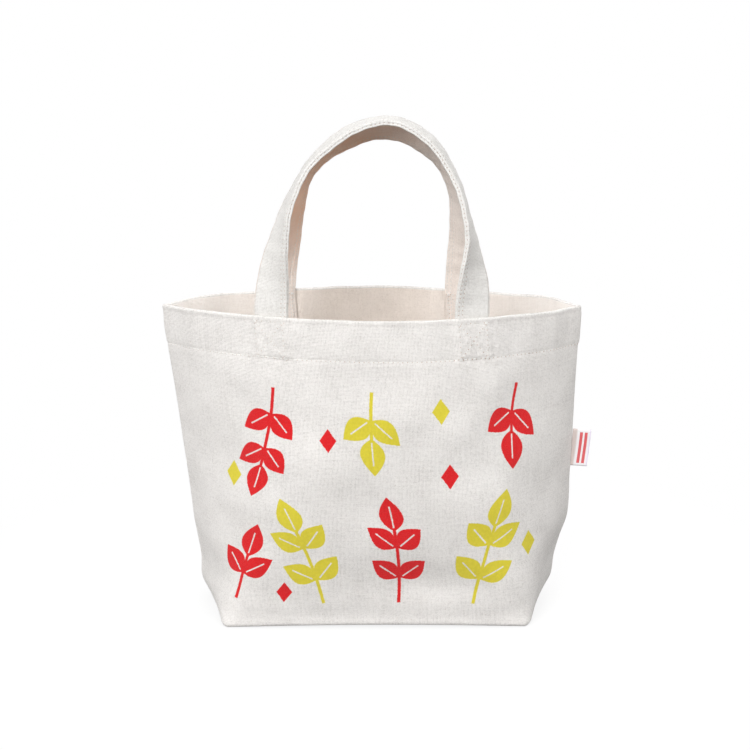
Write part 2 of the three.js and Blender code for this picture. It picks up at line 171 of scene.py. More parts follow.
def through(stations, share):
    """Smooth curve through evenly spaced values, level at both ends."""
    values = np.asarray(stations, float)
    slopes = np.gradient(values)
    slopes[[0, -1]] = 0
    place = share * (len(values) - 1)
    low = np.clip(np.floor(place).astype(int), 0, len(values) - 2)
    part = place - low
    rest = 1 - part
    ends = values[low] + (values[low + 1] - values[low]) * (3 - 2 * part) * part ** 2
    return ends + slopes[low] * part * rest ** 2 - slopes[low + 1] * rest * part ** 2


def rim_height(across):
    return SEAM_HEIGHT + RIM_CROWN * (1 - (across / HALF_PANEL) ** 2)


def shell(across, rise):
    """Point of the plain lofted shell on the front half, from the base at rise 0 to the rim at 1."""
    fold = (1 - rise) ** 2
    height = rise * SEAM_HEIGHT
    squareness = np.exp(-height / FOLD_REACH)
    flare = FOLD_FLARE * height * np.exp(-height / FLARE_REACH)
    turn = MOUTH_TURN + SIDE_TURN * (1 - rise) + (np.pi / 2 - MOUTH_TURN - SIDE_TURN) * squareness
    bend_start = (HALF_BASE - FOLD_RADIUS) * fold + flare
    bend_end = HALF_PANEL - (GUSSET_DEPTH / 2 - FOLD_RADIUS) * fold + flare
    distance = np.abs(across)
    radius = (bend_end - bend_start) / turn
    angle = turn * np.clip((distance - bend_start) / (bend_end - bend_start), 0, 1)
    past = np.maximum(distance - bend_end, 0)
    width = np.minimum(distance, bend_start) + radius * np.sin(angle) + past * np.cos(turn)
    back = radius * (1 - np.cos(angle)) + past * np.sin(turn)
    depth = radius * (1 - np.cos(turn)) + (HALF_PANEL - bend_end) * np.sin(turn)
    roll = np.clip(distance - HALF_PANEL + SEAM_ROLL, 0, SEAM_ROLL)
    pinch = SEAM_ROLL - np.sqrt(SEAM_ROLL ** 2 - (SEAM_PINCH * roll) ** 2)
    x = np.sign(across) * (width - pinch)
    return np.stack([x, back - depth - PANEL_GAP / 2, rise * rim_height(across)], -1)


def waves(across, height, table):
    total = np.zeros_like(across)
    for size, length, degrees, phase in table:
        along = across * np.cos(np.radians(degrees)) + height * np.sin(np.radians(degrees))
        total = total + size * np.cos(2 * np.pi * along / length + phase)
    return total


def crease(across, height, start, end, half_width, size):
    run = np.subtract(end, start)
    length = np.hypot(*run)
    along = ((across - start[0]) * run[0] + (height - start[1]) * run[1]) / length ** 2
    aside = ((across - start[0]) * run[1] - (height - start[1]) * run[0]) / length
    ends = smooth_step(*CREASE_RISE, along) * falling(*CREASE_FALL, along)
    return size * ends * bell(aside, half_width)


def swell(across, rise, half):
    """How far the cloth stands out from the plain shell: hem, strap ends, creases and waves."""
    height = rise * rim_height(across)
    drop = rim_height(across) - height
    from_middle = np.abs(across)
    from_seam = HALF_PANEL - from_middle
    out = waves(across, height, BODY_WAVES[half]) * smooth_step(0, WAVES_FROM_SEAM, from_seam)
    out = out * smooth_step(0, WAVES_FROM_BASE, height)
    out = out * (WAVES_AT_RIM + (1 - WAVES_AT_RIM) * smooth_step(*WAVES_FROM_RIM, drop))
    hem = waves(across, height, HEM_WAVES[half]) * bell(drop, HEM_WAVES_REACH)
    out = out + hem * smooth_step(0, HEM_WAVES_FROM_SEAM, from_seam)
    for place in CREASES[half]:
        out = out + crease(across, height, *place) * smooth_step(*CREASES_FROM_RIM, drop)
    puff = np.sin(np.pi * np.clip(drop / HEM_ROW_DROP, 0, 1)) * falling(*HEM_END, drop)
    tug = 1 - PULL_UNEVEN + PULL_UNEVEN * np.cos(2 * np.pi * across / PULL_PITCH)
    out = out + HEM_PUFF * puff - ROW_PULL * tug * bell(drop - HEM_ROW_DROP, PULL_REACH)
    beside = np.abs(from_middle - STRAP_END)
    out = out + STRAP_PUFF * falling(*PUFF_EDGE, beside) * falling(*PUFF_END, drop)
    sewn = falling(*PUCKERS_BESIDE, beside) * falling(HEM_DEPTH, HEM_ZONE, drop)
    out = out + waves(across, height, PUCKERS) * sewn * smooth_step(*PUCKERS_FROM_RIM, drop)
    foot = FOOT_FULLNESS * bell(height - FOOT_HEIGHT, FOOT_REACH)
    out = out + foot * falling(FOOT_ENDS, HALF_BASE, from_middle)
    low = np.clip(BASE_ROUND - height, 0, BASE_ROUND)
    return out - (BASE_ROUND - np.sqrt(BASE_ROUND ** 2 - low ** 2))


def body_lean(height):
    """Sideways lean of the standing bag at a height."""
    share = np.clip(height / SEAM_HEIGHT, 0, 1)
    return BODY_LEAN[0] + BODY_LEAN[1] * share + BODY_LEAN[2] * share ** 2


def normals_of(function, across, rise):
    step = 0.0005
    rise_step = step / SEAM_HEIGHT
    along = function(across + step, rise) - function(across - step, rise)
    up = function(across, rise) - function(across, rise - rise_step)
    return unit(np.cross(along, up))


def canvas(across, rise, half):
    """Point on the outside of a panel as it stands."""
    across, rise = np.broadcast_arrays(np.asarray(across, float), np.asarray(rise, float))
    points = shell(across, rise)
    points = points + normals_of(shell, across, rise) * swell(across, rise, half)[..., None]
    points = points * (FACING[half], FACING[half], 1)
    x, height = points[..., 0], np.maximum(points[..., 2], 0)
    drop = SEAM_HEIGHT - height
    in_hem = smooth_step(0, BULK_FADE[0], drop) * falling(HEM_DEPTH - BULK_FADE[1], HEM_DEPTH, drop)
    at_seam = smooth_step(BULK_FROM, HALF_PANEL, np.abs(across))
    moved = {}
    for side in ("left", "right"):
        full = through(SIDE_FULLNESS[side], np.clip(height / SEAM_HEIGHT, 0, 1))
        spread = BASE_SPREAD[side] * np.exp(-height / SPREAD_REACH) * np.clip(np.abs(x) / HALF_BASE, 0, 1)
        moved[side] = full * smooth_step(FULL_FROM, HALF_PANEL, np.abs(across)) + spread
        moved[side] = moved[side] + HEM_BULK[side] * in_hem * at_seam
    points[..., 0] = x + np.where(x > 0, moved["right"], -moved["left"]) + body_lean(height)
    from_left = 0.5 + across / PANEL_WIDTH * FACING[half]
    arch = BASE_ARCH * np.clip(1 - (across / HALF_BASE) ** 2, 0, 1) * np.exp(-height / ARCH_REACH)
    points[..., 2] = height + arch + through(RIM_LIFT[half], np.clip(from_left, 0, 1)) * rise ** 2
    return points


def side_seam(height, x_sign):
    """Point of a side seam at a height, midway between the two panels."""
    rise = np.asarray(height) / SEAM_HEIGHT
    return (canvas(x_sign * HALF_PANEL, rise, "front") + canvas(-x_sign * HALF_PANEL, rise, "back")) / 2


def on_canvas(across, drop, depth, half):
    """Point a drop below the rim and a depth inside the outer face, and the outward direction there."""
    across, drop = np.broadcast_arrays(np.asarray(across, float), np.asarray(drop, float))
    rise = 1 - drop / rim_height(across)
    outward = normals_of(lambda a, r: canvas(a, r, half), across, rise)
    return canvas(across, rise, half) - depth * outward, outward


def placed(name, data):
    """New object in the scene, at the origin."""
    made = bpy.data.objects.new(name, data)
    bpy.context.scene.collection.objects.link(made)
    return made


def make_object(name, points, faces, uvs, materials, face_materials):
    """Smooth mesh object at the origin, with one cloth coordinate for each point."""
    mesh = bpy.data.meshes.new(name)
    mesh.from_pydata(points.tolist(), [], faces)
    corner_points = np.empty(len(mesh.loops), int)
    mesh.loops.foreach_get("vertex_index", corner_points)
    layer = mesh.uv_layers.new(name="cloth")
    layer.data.foreach_set("uv", np.asarray(uvs, np.float32)[corner_points].ravel())
    for material in materials:
        mesh.materials.append(material)
    mesh.polygons.foreach_set("material_index", np.asarray(face_materials, np.int32))
    mesh.polygons.foreach_set("use_smooth", np.ones(len(mesh.polygons), bool))
    mesh.update()
    return placed(name, mesh)


def loop_faces(rows, columns):
    """Quads between neighbouring rows of points, the last row joined to the first."""
    row, column = np.meshgrid(np.arange(rows), np.arange(columns - 1), indexing="ij")
    after = (row + 1) % rows
    corners = [row * columns + column, row * columns + column + 1, after * columns + column + 1,
               after * columns + column]
    return np.stack(corners, -1).reshape(-1, 4)


def panel_object(half, materials):
    """A panel with its half of the base and its hem: outer face, rolled rim and inner face."""
    edge = np.linspace(0, EDGE_BAND, 9)
    between = np.linspace(EDGE_BAND - HALF_PANEL, HALF_PANEL - EDGE_BAND, 196)[1:-1]
    columns = np.concatenate([edge - HALF_PANEL, between, HALF_PANEL - edge[::-1]])
    rim = rim_height(columns)
    rim_round = HEM_THICKNESS / 2
    low = BASE_ROUND * (1 - np.cos(np.linspace(0, np.pi / 2, 8)))
    wall_rows = np.linspace(WALL_START, SEAM_HEIGHT - HEM_ZONE, 78)
    body_low = np.concatenate([low, np.linspace(*FOOT_ROWS, 10), wall_rows])
    body_rises = body_low[:, None] / SEAM_HEIGHT * np.ones_like(columns)
    body_rises = body_rises * (1 - HEM_ZONE / rim) / (1 - HEM_ZONE / SEAM_HEIGHT)
    below = np.arange(HEM_ZONE - BELOW_STEP, HEM_DEPTH + HEM_LEDGE, -BELOW_STEP)
    within = np.arange(HEM_DEPTH - HEM_STEP, rim_round + HEM_LEDGE, -HEM_STEP)
    drops = np.concatenate([below, [HEM_DEPTH + HEM_LEDGE, HEM_DEPTH], within, [rim_round]])
    hem_rises = 1 - drops[:, None] / rim
    rises = np.concatenate([body_rises, hem_rises])
    wall = canvas(columns * np.ones_like(rises), rises, half)
    sign = FACING[half]
    middle = np.stack([sign * columns * (HALF_BASE - BASE_SEAM_INSET) / HALF_PANEL + body_lean(0),
                       np.full_like(columns, -sign * PANEL_GAP / 2), np.zeros_like(columns)], -1)
    shares = np.linspace(1, 0, 24)[:-1, None, None]
    base = wall[0] * (1 - shares) + middle * shares
    outer = np.concatenate([base, wall])
    heights = np.concatenate([-shares[:, 0] * GUSSET_DEPTH / 2 * np.ones_like(columns), rises * rim])
    layers = np.concatenate([np.full(len(base) + len(body_rises), CANVAS),
                             np.where(drops <= HEM_DEPTH, HEM_THICKNESS, CANVAS)])

    outward = unit(np.cross(np.gradient(outer, axis=1), np.gradient(outer, axis=0)))
    inner = outer - layers[:, None, None] * outward
    inner[..., 1] = sign * np.minimum(sign * inner[..., 1], -PANEL_GAP / 3)
    up = unit(outer[-1] - outer[-2])
    bead = RIM_BEAD * bell(rim - heights - BEAD_DROP, BEAD_REACH)
    outer = outer + bead[..., None] * outward
    angles = np.radians(np.arange(18, 180, 18))[:, None, None]
    across_rim = (outer[-1] - inner[-1]) / 2
    rim_roll = inner[-1] + across_rim * (1 + np.cos(angles)) + rim_round * np.sin(angles) * up
    loop = np.concatenate([outer, rim_roll, inner[::-1]])
    roll_heights = heights[-1] + rim_round * np.sin(angles[..., 0])
    loop_heights = np.concatenate([heights, roll_heights, heights[::-1]])
    uvs = np.stack([columns * np.ones_like(loop_heights), loop_heights], -1).reshape(-1, 2)

    rows, count = loop.shape[:2]
    faces = loop_faces(rows, count)
    is_inside = faces[:, 0] // count >= len(outer) + len(angles)
    side = np.arange(rows // 2 - 1)
    ends = np.stack([side, side + 1, rows - 2 - side, rows - 1 - side], -1) * count
    faces = np.concatenate([faces, ends[:, ::-1], ends + count - 1]).tolist()
    slots = np.concatenate([is_inside, np.zeros(2 * len(ends), bool)])
    return make_object(f"{half}_panel_canvas", loop.reshape(-1, 3), faces, uvs, materials, slots)


def math_method(operation, is_reversed=False):
    """Method that puts a wire through a Math node, alone or with another value."""
    def method(wire, other=None):
        first, second = (other, wire) if is_reversed else (wire, other)
        return wire.shader.node("ShaderNodeMath", {"operation": operation}, {0: first, 1: second})
    return method


class Wire:
    """An output of a shader node. Arithmetic on it adds Math nodes."""
    __add__ = __radd__ = math_method("ADD")
    __sub__ = math_method("SUBTRACT")
    __rsub__ = math_method("SUBTRACT", is_reversed=True)
    __mul__ = __rmul__ = math_method("MULTIPLY")
    __truediv__ = math_method("DIVIDE")
    __mod__ = math_method("FLOORED_MODULO")
    __abs__ = math_method("ABSOLUTE")
    sine = math_method("SINE")
    larger = math_method("MAXIMUM")
    smaller = math_method("MINIMUM")

    def __init__(self, shader, output):
        self.shader = shader
        self.output = output

    def clamped(self):
        settings = {"operation": "ADD", "use_clamp": True}
        return self.shader.node("ShaderNodeMath", settings, {0: self, 1: 0.0})


def add_node(tree, kind, settings, sockets):
    """New node with its settings made and its inputs set or linked."""
    made = tree.nodes.new(kind)
    for key, value in (settings or {}).items():
        setattr(made, key, value)
    for key, value in (sockets or {}).items():
        source = value.output if isinstance(value, Wire) else value
        if isinstance(source, bpy.types.NodeSocket):
            tree.links.new(source, made.inputs[key])
        elif source is not None:
            made.inputs[key].default_value = source
    return made


class Shader:
    """A material or world under construction."""

    def __init__(self, name, owner=None):
        self.owner = owner or bpy.data.materials.new(name)
        self.owner.use_nodes = True
        self.tree = self.owner.node_tree
        self.tree.nodes.clear()

    def node(self, kind, settings=None, sockets=None, output=0):
        return Wire(self, add_node(self.tree, kind, settings, sockets).outputs[output])

    def mix(self, factor, first, second):
        return self.node("ShaderNodeMix", {"data_type": "RGBA"}, {0: factor, 6: first, 7: second}, 2)

    def noise(self, vector, scale, detail=2.0, dimensions="2D"):
        settings = {"noise_dimensions": dimensions}
        return self.node("ShaderNodeTexNoise", settings, {"Vector": vector, "Scale": scale, "Detail": detail})

    def plane(self, first, second):
        return self.node("ShaderNodeCombineXYZ", None, {0: first, 1: second})

    def place(self, kind="Object"):
        return self.node("ShaderNodeTexCoord", None, None, kind)

    def part(self, vector, axis):
        return self.node("ShaderNodeSeparateXYZ", None, {0: vector}, axis)

    def cloth_finish(self, colour, height, roughness, bump, sheen):
        settings = {"Height": height, "Strength": bump[0], "Distance": bump[1]}
        normal = self.node("ShaderNodeBump", None, settings)
        sockets = {"Base Color": colour, "Roughness": roughness, "Normal": normal,
                   "Specular IOR Level": 0.2, "Sheen Weight": sheen, "Sheen Roughness": 0.5}
        return self.shown(self.node("ShaderNodeBsdfPrincipled", None, sockets))

    def shown(self, surface, kind="Material"):
        made = self.tree.nodes.new("ShaderNodeOutput" + kind)
        self.tree.links.new(surface.output, made.inputs["Surface"])
        return self.owner


def cloth_coordinates(shader):
    cloth = shader.node("ShaderNodeUVMap", {"uv_map": "cloth"})
    return cloth, shader.part(cloth, 0), shader.part(cloth, 1)


def shaded(colour, share):
    return tuple(np.multiply(colour[:3], share)) + (1,)


WEAVE_PITCH = 0.00085
THREAD_WANDER = (0.12, 1.6)
SLUB_SCALE = 45.0
SLUB_SHARE = 0.55
WARP_LEVEL = 0.62
WEFT_LEVEL = 0.55
CROSSING = 0.38
# Share of the tone between the threads, outside and inside, and its tint: painted shade in the hollows of the
# weave.
WEAVE_GAP_SHADE = 0.40
INSIDE_GAP_SHADE = 0.62
GAP_SHADE_TINT = np.array((1, 0.96, 0.92))
CANVAS_WHITE = (0.86, 0.835, 0.81, 1)
# Inside of the bag: the same canvas in a brighter, warmer tone, painted light that stands for warm light
# bounced inside.
CANVAS_INSIDE_PAINTED_BOUNCE = (0.97, 0.89, 0.82, 1)
CANVAS_ROUGHNESS = (0.96, 0.08)
CANVAS_BUMP = (1.0, 0.00035)
CANVAS_SHEEN = 0.12
# Paler colour of the inside towards the side seams, and where it starts: painted light.
INSIDE_PAINTED_LIGHT = (0.98, 0.955, 0.93, 1)
PAINTED_LIGHT_FROM = 0.030
# Scale, detail and share of each layer of uneven bleaching.
BLEACH = ((60.0, 4.0, 0.405), (420.0, 2.0, 0.405), (1000.0, 1.0, 0.54))
WEAVE_SHARE = (1.15, -0.44)
FLECK = (0.36, 0.25, 0.15, 1)
FLECK_SCALE = 760.0
FLECK_FROM = 0.86
FLECK_EDGE = 22.0
FLECK_SHARE = 0.25


def plain_weave(shader, cloth, u, v):
    """Height of a plain weave, 0 to 1, with threads that wander and swell a little."""
    wander = (shader.noise(cloth, THREAD_WANDER[0] / WEAVE_PITCH) - 0.5) * THREAD_WANDER[1]
    slub = shader.noise(shader.plane(u / WEAVE_PITCH, v * SLUB_SCALE), 1.0)
    slub = slub + shader.noise(shader.plane(u * SLUB_SCALE, v / WEAVE_PITCH), 1.0)
    warp = (u * (np.pi / WEAVE_PITCH) + wander).sine()
    weft = (v * (np.pi / WEAVE_PITCH) - wander).sine()
    over = warp * weft * CROSSING
    threads = (abs(warp) * (WARP_LEVEL + over)).larger(abs(weft) * (WEFT_LEVEL - over))
    return threads * (1 - SLUB_SHARE + slub * SLUB_SHARE)


def canvas_colour(shader, cloth, weave, tone, depth):
    """Natural canvas: darker between the threads as painted shade, uneven in bleach, with a few flecks of
    seed husk.
    """
    light = weave * WEAVE_SHARE[0] + WEAVE_SHARE[1]
    for scale, detail, share in BLEACH:
        light = light + shader.noise(cloth, scale, detail) * share
    # The darker tone between the threads is painted shade.
    colour = shader.mix(light.clamped(), shaded(tone, depth * GAP_SHADE_TINT), tone)
    flecks = ((shader.noise(cloth, FLECK_SCALE, 0.0) - FLECK_FROM) * FLECK_EDGE).clamped() * FLECK_SHARE
    return shader.mix(flecks, colour, FLECK)


def canvas_material(name, tone, depth, ink=None):
    shader = Shader(name)
    cloth, u, v = cloth_coordinates(shader)
    weave = plain_weave(shader, cloth, u, v)
    colour = canvas_colour(shader, cloth, weave, tone, depth)
    if ink is not None:
        colour = ink(shader, cloth, u, v, weave, colour)
    roughness = CANVAS_ROUGHNESS[0] - weave * CANVAS_ROUGHNESS[1]
    return shader.cloth_finish(colour, weave, roughness, CANVAS_BUMP, CANVAS_SHEEN)


def painted_light_at_seams(shader, cloth, u, v, weave, colour):
    """Inside of the bag, paler towards the side seams: painted light, so that the middle looks shaded by the
    handles.
    """
    painted_light_share = ((abs(u) - PAINTED_LIGHT_FROM) / (HALF_PANEL - PAINTED_LIGHT_FROM)).clamped()
    return shader.mix(painted_light_share * (0.4 + weave * 0.6), colour, INSIDE_PAINTED_LIGHT)


# Printed design on the front: leafy sprigs and small lozenges in red and yellow, in flat screen-print
# ink that lies thin over the weave. Each sprig is a bent stem with leaf pairs and a leaf at its tip.
INKS = {"yellow": (0.76, 0.65, 0.040, 1), "red": (0.75, 0.004, 0.008, 1)}
INK_EDGE = 0.00035
INK_RAGGED = (900.0, 0.0006)
INK_WORN = 0.10
INK_THIN = 0.82
WORN_SCALE = 1300.0
THIN_SCALE = 520.0
LEAF_SLANT = np.radians(50)
LEAF_SPACING = 2.5
LEAF_ROOT = 0.0007
TIP_LEAF = (1.1, 1.05)
RIB_HALF_WIDTH = 0.00045
RIB_SPAN = (0.10, 0.72)
STEM_HALF_WIDTH = 0.0011
STEM_INTO_TIP = 0.002
BARE_STEM = 0.006
# Start of the stem, direction in degrees, leaf pairs, leaf length, half width of a leaf, bend.
SPRIGS = {
    "yellow": (((-0.036, 0.018), 104, 2, 0.0225, 0.0075, 1.5),
               ((0.062, 0.017), 82, 2, 0.0235, 0.0077, -1.5),
               ((-0.003, 0.165), 264, 1, 0.0225, 0.0074, 2.0)),
    "red": (((-0.094, 0.020), 82, 1, 0.0220, 0.0074, -2.0),
            ((0.013, 0.018), 88, 2, 0.0215, 0.0072, 2.0),
            ((-0.066, 0.165), 262, 2, 0.0210, 0.0071, -1.5),
            ((0.094, 0.165), 258, 1, 0.0230, 0.0076, 2.0)),
}
# Middle, half width and half height of each lozenge.
LOZENGES = {
    "yellow": (((-0.099, 0.104), 0.0060, 0.0085),
               ((0.101, 0.056), 0.0060, 0.0085),
               ((0.040, 0.152), 0.0058, 0.0083)),
    "red": (((0.045, 0.109), 0.0058, 0.0083),
            ((-0.032, 0.133), 0.0054, 0.0077),
            ((-0.062, 0.026), 0.0052, 0.0074)),
}


def covered(distance):
    """Ink where the distance inside a motif's edge is positive."""
    return (distance * (1 / INK_EDGE) + 0.5).clamped()


def turned(u, v, middle, degrees):
    """Coordinates along and across a line through a point of the cloth."""
    cosine, sine = np.cos(np.radians(degrees)), np.sin(np.radians(degrees))
    along = u * cosine + v * sine - (middle[0] * cosine + middle[1] * sine)
    aside = v * cosine - u * sine - (middle[1] * cosine - middle[0] * sine)
    return along, aside


def leaf(along, aside, length, half_width):
    """Pointed leaf from 0 to its length, with a bare rib along its middle."""
    share = along / length
    blade = share * (1 - share) * (1.3 - share * 0.6) * (4 * half_width) - abs(aside)
    in_span = (length * RIB_SPAN[1] - along).smaller(along - length * RIB_SPAN[0])
    rib = (RIB_HALF_WIDTH - abs(aside)).smaller(in_span)
    return blade.smaller(length - along).smaller(0 - rib)


def sprig(u, v, start, degrees, pairs, leaf_length, half_width, bend):
    """Distance inside a sprig. Each leaf pair repeats along the stem, slid back along its slant."""
    along, straight_aside = turned(u, v, start, degrees)
    aside = straight_aside - along * along * bend
    pitch = LEAF_SPACING * half_width / np.sin(LEAF_SLANT)
    stem_length = pairs * pitch + BARE_STEM
    stem = (STEM_HALF_WIDTH - abs(aside)).smaller(along).smaller(stem_length + STEM_INTO_TIP - along)
    out = abs(aside) - LEAF_ROOT
    slid = along - out * (1 / np.tan(LEAF_SLANT)) - BARE_STEM
    in_step = slid % pitch - pitch / 2
    leaf_along = in_step * np.cos(LEAF_SLANT) + out * (1 / np.sin(LEAF_SLANT))
    leaves = leaf(leaf_along, in_step * np.sin(LEAF_SLANT), leaf_length, half_width)
    leaves = leaves.smaller(slid).smaller(pairs * pitch - slid)
    tip = leaf(along - stem_length, aside, leaf_length * TIP_LEAF[0], half_width * TIP_LEAF[1])
    return stem.larger(leaves).larger(tip)


def lozenge(u, v, middle, half_width, half_height):
    return half_width - abs(u - middle[0]) - abs(v - middle[1]) * (half_width / half_height)


def sprig_print(shader, cloth, u, v, weave, colour):
    """Ink of both colours over the canvas, a little ragged at its edges and worn on the threads."""
    ragged = (shader.noise(cloth, INK_RAGGED[0]) - 0.5) * INK_RAGGED[1]
    u, v = u + ragged, v + ragged
    worn = (weave * 0.9 + shader.noise(cloth, WORN_SCALE) * 0.8).clamped() * INK_WORN + (1 - INK_WORN)
    for name, ink in INKS.items():
        motifs = [sprig(u, v, *sizes) for sizes in SPRIGS[name]]
        motifs += [lozenge(u, v, *sizes) for sizes in LOZENGES[name]]
        nearest = motifs[0]
        for motif in motifs[1:]:
            nearest = nearest.larger(motif)
        uneven = shader.mix(shader.noise(cloth, THIN_SCALE, 3.0), shaded(ink, INK_THIN), ink)
        colour = shader.mix(covered(nearest) * worn, colour, uneven)
    return colour


# The inside's brighter, warmer tone and its paler sides are painted light.
canvas_inside_painted_light = canvas_material("canvas_inside_painted_light", CANVAS_INSIDE_PAINTED_BOUNCE, INSIDE_GAP_SHADE, painted_light_at_seams)
canvas_printed = canvas_material("canvas_printed", CANVAS_WHITE, WEAVE_GAP_SHADE, sprig_print)
canvas_plain = canvas_material("canvas_plain", CANVAS_WHITE, WEAVE_GAP_SHADE)
panels = {
    "front": panel_object("front", [canvas_printed, canvas_inside_painted_light]),
    "back": panel_object("back", [canvas_plain, canvas_inside_painted_light]),
}
for half, panel in panels.items():
    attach(panel, "bag")
    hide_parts(f"{half}_panel")


# Strap handles: each is one length of the same canvas, folded in four lengthwise and closed along
# its inner edge. Its ends lie flat inside the hem, and it twists on the way to the top of its arch.
STRAP_THICKNESS = 0.0020
STRAP_DEPTH = HEM_THICKNESS + 0.0013
STRAP_SEWN = 0.026
SEWN_TOP = 0.0008
ROOT_GAP = 0.0005
ROOT_TILT = np.radians(7)
ROOT_REACH = 0.015
STRAP_STEP = 0.0014
# Steps over which the path is evened by the rim and in the arch, and where it goes from one to the other.
EVENED_STEPS = (4, 17)
ARCH_FROM_RIM = (0.015, 0.045)
# Closed edge: full thickness, how far it reaches in, its two lips and its two rows of stitches.
CLOSED_EDGE = 0.0033
EDGE_REACH = 0.0075
EDGE_FADE = (-0.014, -0.002)
LIP_ROUND = 0.0008
LIP_GAPS = (0.00004, 0.00003)
EDGE_ROWS = (0.0016, 0.0042)
ROW_DIP = 0.00028
DIP_REACH = 0.0006
# Ripples along the strap: height, wavelength, direction in degrees and phase of each.
RIPPLES = ((0.00018, 0.031, 0, 0), (0.00012, 0.0113, 0, 1))
WHITE_LIP = {"front": 0.0016, "back": 0.0}
REVERSE_FROM = 0.0004
STRAP_WHITE = (0.81, 0.795, 0.77, 1)
# Reverse face of the straps: a warmer tone, painted shade that stands for warm light bounced under the
# straps.
STRAP_REVERSE_WARM_SHADE = (0.96, 0.88, 0.82, 1)
# Share of the tone between the strap's threads: painted shade.
STRAP_GAP_SHADE = 0.50
# Painted shade on the reverse, browner from the left leg to the middle: its colour, start, end, fades and
# noise scale.
UNDERSIDE_SHADE_BROWN = (0.84, 0.51, 0.34, 1)
UNDERSIDE_SHADE_START = 0.030
UNDERSIDE_SHADE_END = 0.155
UNDERSIDE_SHADE_FADE = (0.06, 0.065)
UNDERSIDE_SHADE_SCALE = 90.0
# Each arch: shift and lift in metres and twist in degrees at nine even stations from left to right.
ARCHES = {
    "front": {"side": -1, "rise": 0.121, "squareness": 2.26, "tilt": 3.9, "drift": 0.0038,
              "shift": np.array((-1.4, -1.1, -0.5, 0.8, 3.5, 3.6, 3.0, 2.4, 0.9)) / 1000,
              "lift": np.array((0, 0.4, -0.8, -2.8, 1.1, -0.9, -2.1, -2.4, 0)) / 1000,
              "twist": (18, 64, 83, 77, 82, 76, 80, 74, 18)},
    "back": {"side": 1, "rise": 0.124, "squareness": 2.2, "tilt": 26.4, "drift": 0.0055,
             "shift": np.array((-1.5, 1.8, -2.2, 0.1, 1.5, 1.4, 2.3, -0.3, -0.5)) / 1000,
             "lift": np.array((0, -0.7, 0.7, 0.6, 3.6, 2.6, -0.8, 1.0, 0)) / 1000,
             "twist": (-18, -53, -62, -41, -33, -36, -67, -57, -18)},
}


def arch_frames(side, rise, squareness, tilt, drift, shift, lift, twist):
    """Centre line of a free strap, and the direction across the strap towards its closed edge."""
    tilt = np.radians(tilt)
    root, _ = on_canvas(STRAP_END, 0.0, STRAP_DEPTH, "front")
    other_root, _ = on_canvas(-STRAP_END, 0.0, STRAP_DEPTH, "front")
    slope_change = np.tan(ROOT_TILT) - np.tan(tilt)
    share = np.linspace(0, 1, 1601)
    power = 2 / squareness
    swing = -np.cos(np.pi * share)
    up = rise * np.abs(np.sin(np.pi * share)) ** power + through(lift, share)
    inward = up * np.sin(tilt) + slope_change * ROOT_REACH * (1 - np.exp(-up / ROOT_REACH))
    x = (root[0] - other_root[0]) / 2 * np.sign(swing) * np.abs(swing) ** power
    x = x + body_lean(SEAM_HEIGHT) + drift * up / rise + through(shift, share)
    centres = np.stack([x, -side * (root[1] + inward), root[2] + ROOT_GAP + up * np.cos(tilt)], -1)
    slope = np.tan(tilt) + slope_change * np.exp(-up / ROOT_REACH)
    forward = unit(np.stack([np.zeros_like(up), -np.ones_like(up), -side * slope], -1))
    along = np.gradient(centres, axis=0)
    along[0] = (0, -side * slope[0], 1)
    along[-1] = (0, -side * slope[-1], -1)
    inner = unit(np.cross(unit(along), forward))
    turn = np.radians(through(twist, share))[:, None]
    return centres, inner * np.cos(turn) + forward * np.sin(turn)


def sewn_end(half, x_sign):
    """Place across the panel of the strap end on the left or right, as seen from the front."""
    shift = ARCHES[half]["shift"][0 if x_sign < 0 else -1]
    return (x_sign * STRAP_END + shift) * FACING[half]


def evened(points, reach):
    """Running average of points over a number of steps each way."""
    window = np.hanning(2 * reach + 3)[1:-1]
    longer = np.pad(points, ((reach, reach), (0, 0)), mode="reflect", reflect_type="odd")
    return np.stack([np.convolve(longer[:, axis], window / window.sum(), "valid") for axis in range(3)], -1)


def lengths_along(path):
    return np.concatenate([[0], np.cumsum(np.linalg.norm(np.diff(path, axis=0), axis=1))])


def square_to(along, widths):
    """Width directions turned square to a path."""
    return unit(widths - along * (along * widths).sum(-1, keepdims=True))


def past_rim(walked):
    """Length of strap above the rim, less than nothing inside the hem."""
    return np.minimum(walked, walked[-1] - walked) - STRAP_SEWN


def strap_path(half):
    """The whole strap: a sewn end, the free arch and the other sewn end, in even steps."""
    free_centres, free_widths = arch_frames(**ARCHES[half])
    drops = np.linspace(STRAP_SEWN, SEWN_TOP, 30)
    shares = np.linspace(-1, 1, 9)
    sewn = {}
    for x_sign in (-1, 1):
        end = sewn_end(half, x_sign)
        across = end - np.sign(end) * STRAP_WIDTH / 2 * shares[:, None]
        places, _ = on_canvas(across, drops, STRAP_DEPTH, half)
        sewn[x_sign] = places.mean(axis=0), unit(np.tensordot(shares, places, 1))
    centres = np.concatenate([sewn[-1][0], free_centres, sewn[1][0][::-1]])
    widths = np.concatenate([sewn[-1][1], free_widths, sewn[1][1][::-1]])
    walked = lengths_along(centres)
    even = np.linspace(0, walked[-1], int(walked[-1] / STRAP_STEP) + 1)
    in_arch = smooth_step(*ARCH_FROM_RIM, past_rim(even))[:, None]
    smoothed = []
    for values in (centres, widths):
        stepped = np.stack([np.interp(even, walked, values[:, axis]) for axis in range(3)], -1)
        by_rim, by_top = (evened(stepped, steps) for steps in EVENED_STEPS)
        smoothed.append(by_rim * (1 - in_arch) + by_top * in_arch)
    centres, widths = smoothed
    along = unit(np.gradient(centres, axis=0))
    widths = square_to(along, widths)
    return centres, widths, np.cross(widths, along), even


def half_thick(inset, closed_edge):
    """Half the thickness of a strap an inset from its closed edge, less along the rows of stitches."""
    fuller = (closed_edge - STRAP_THICKNESS) / 2 * falling(LIP_ROUND, EDGE_REACH, inset)
    dips = sum(bell(inset - row, DIP_REACH) for row in EDGE_ROWS)
    return STRAP_THICKNESS / 2 + fuller - ROW_DIP * dips


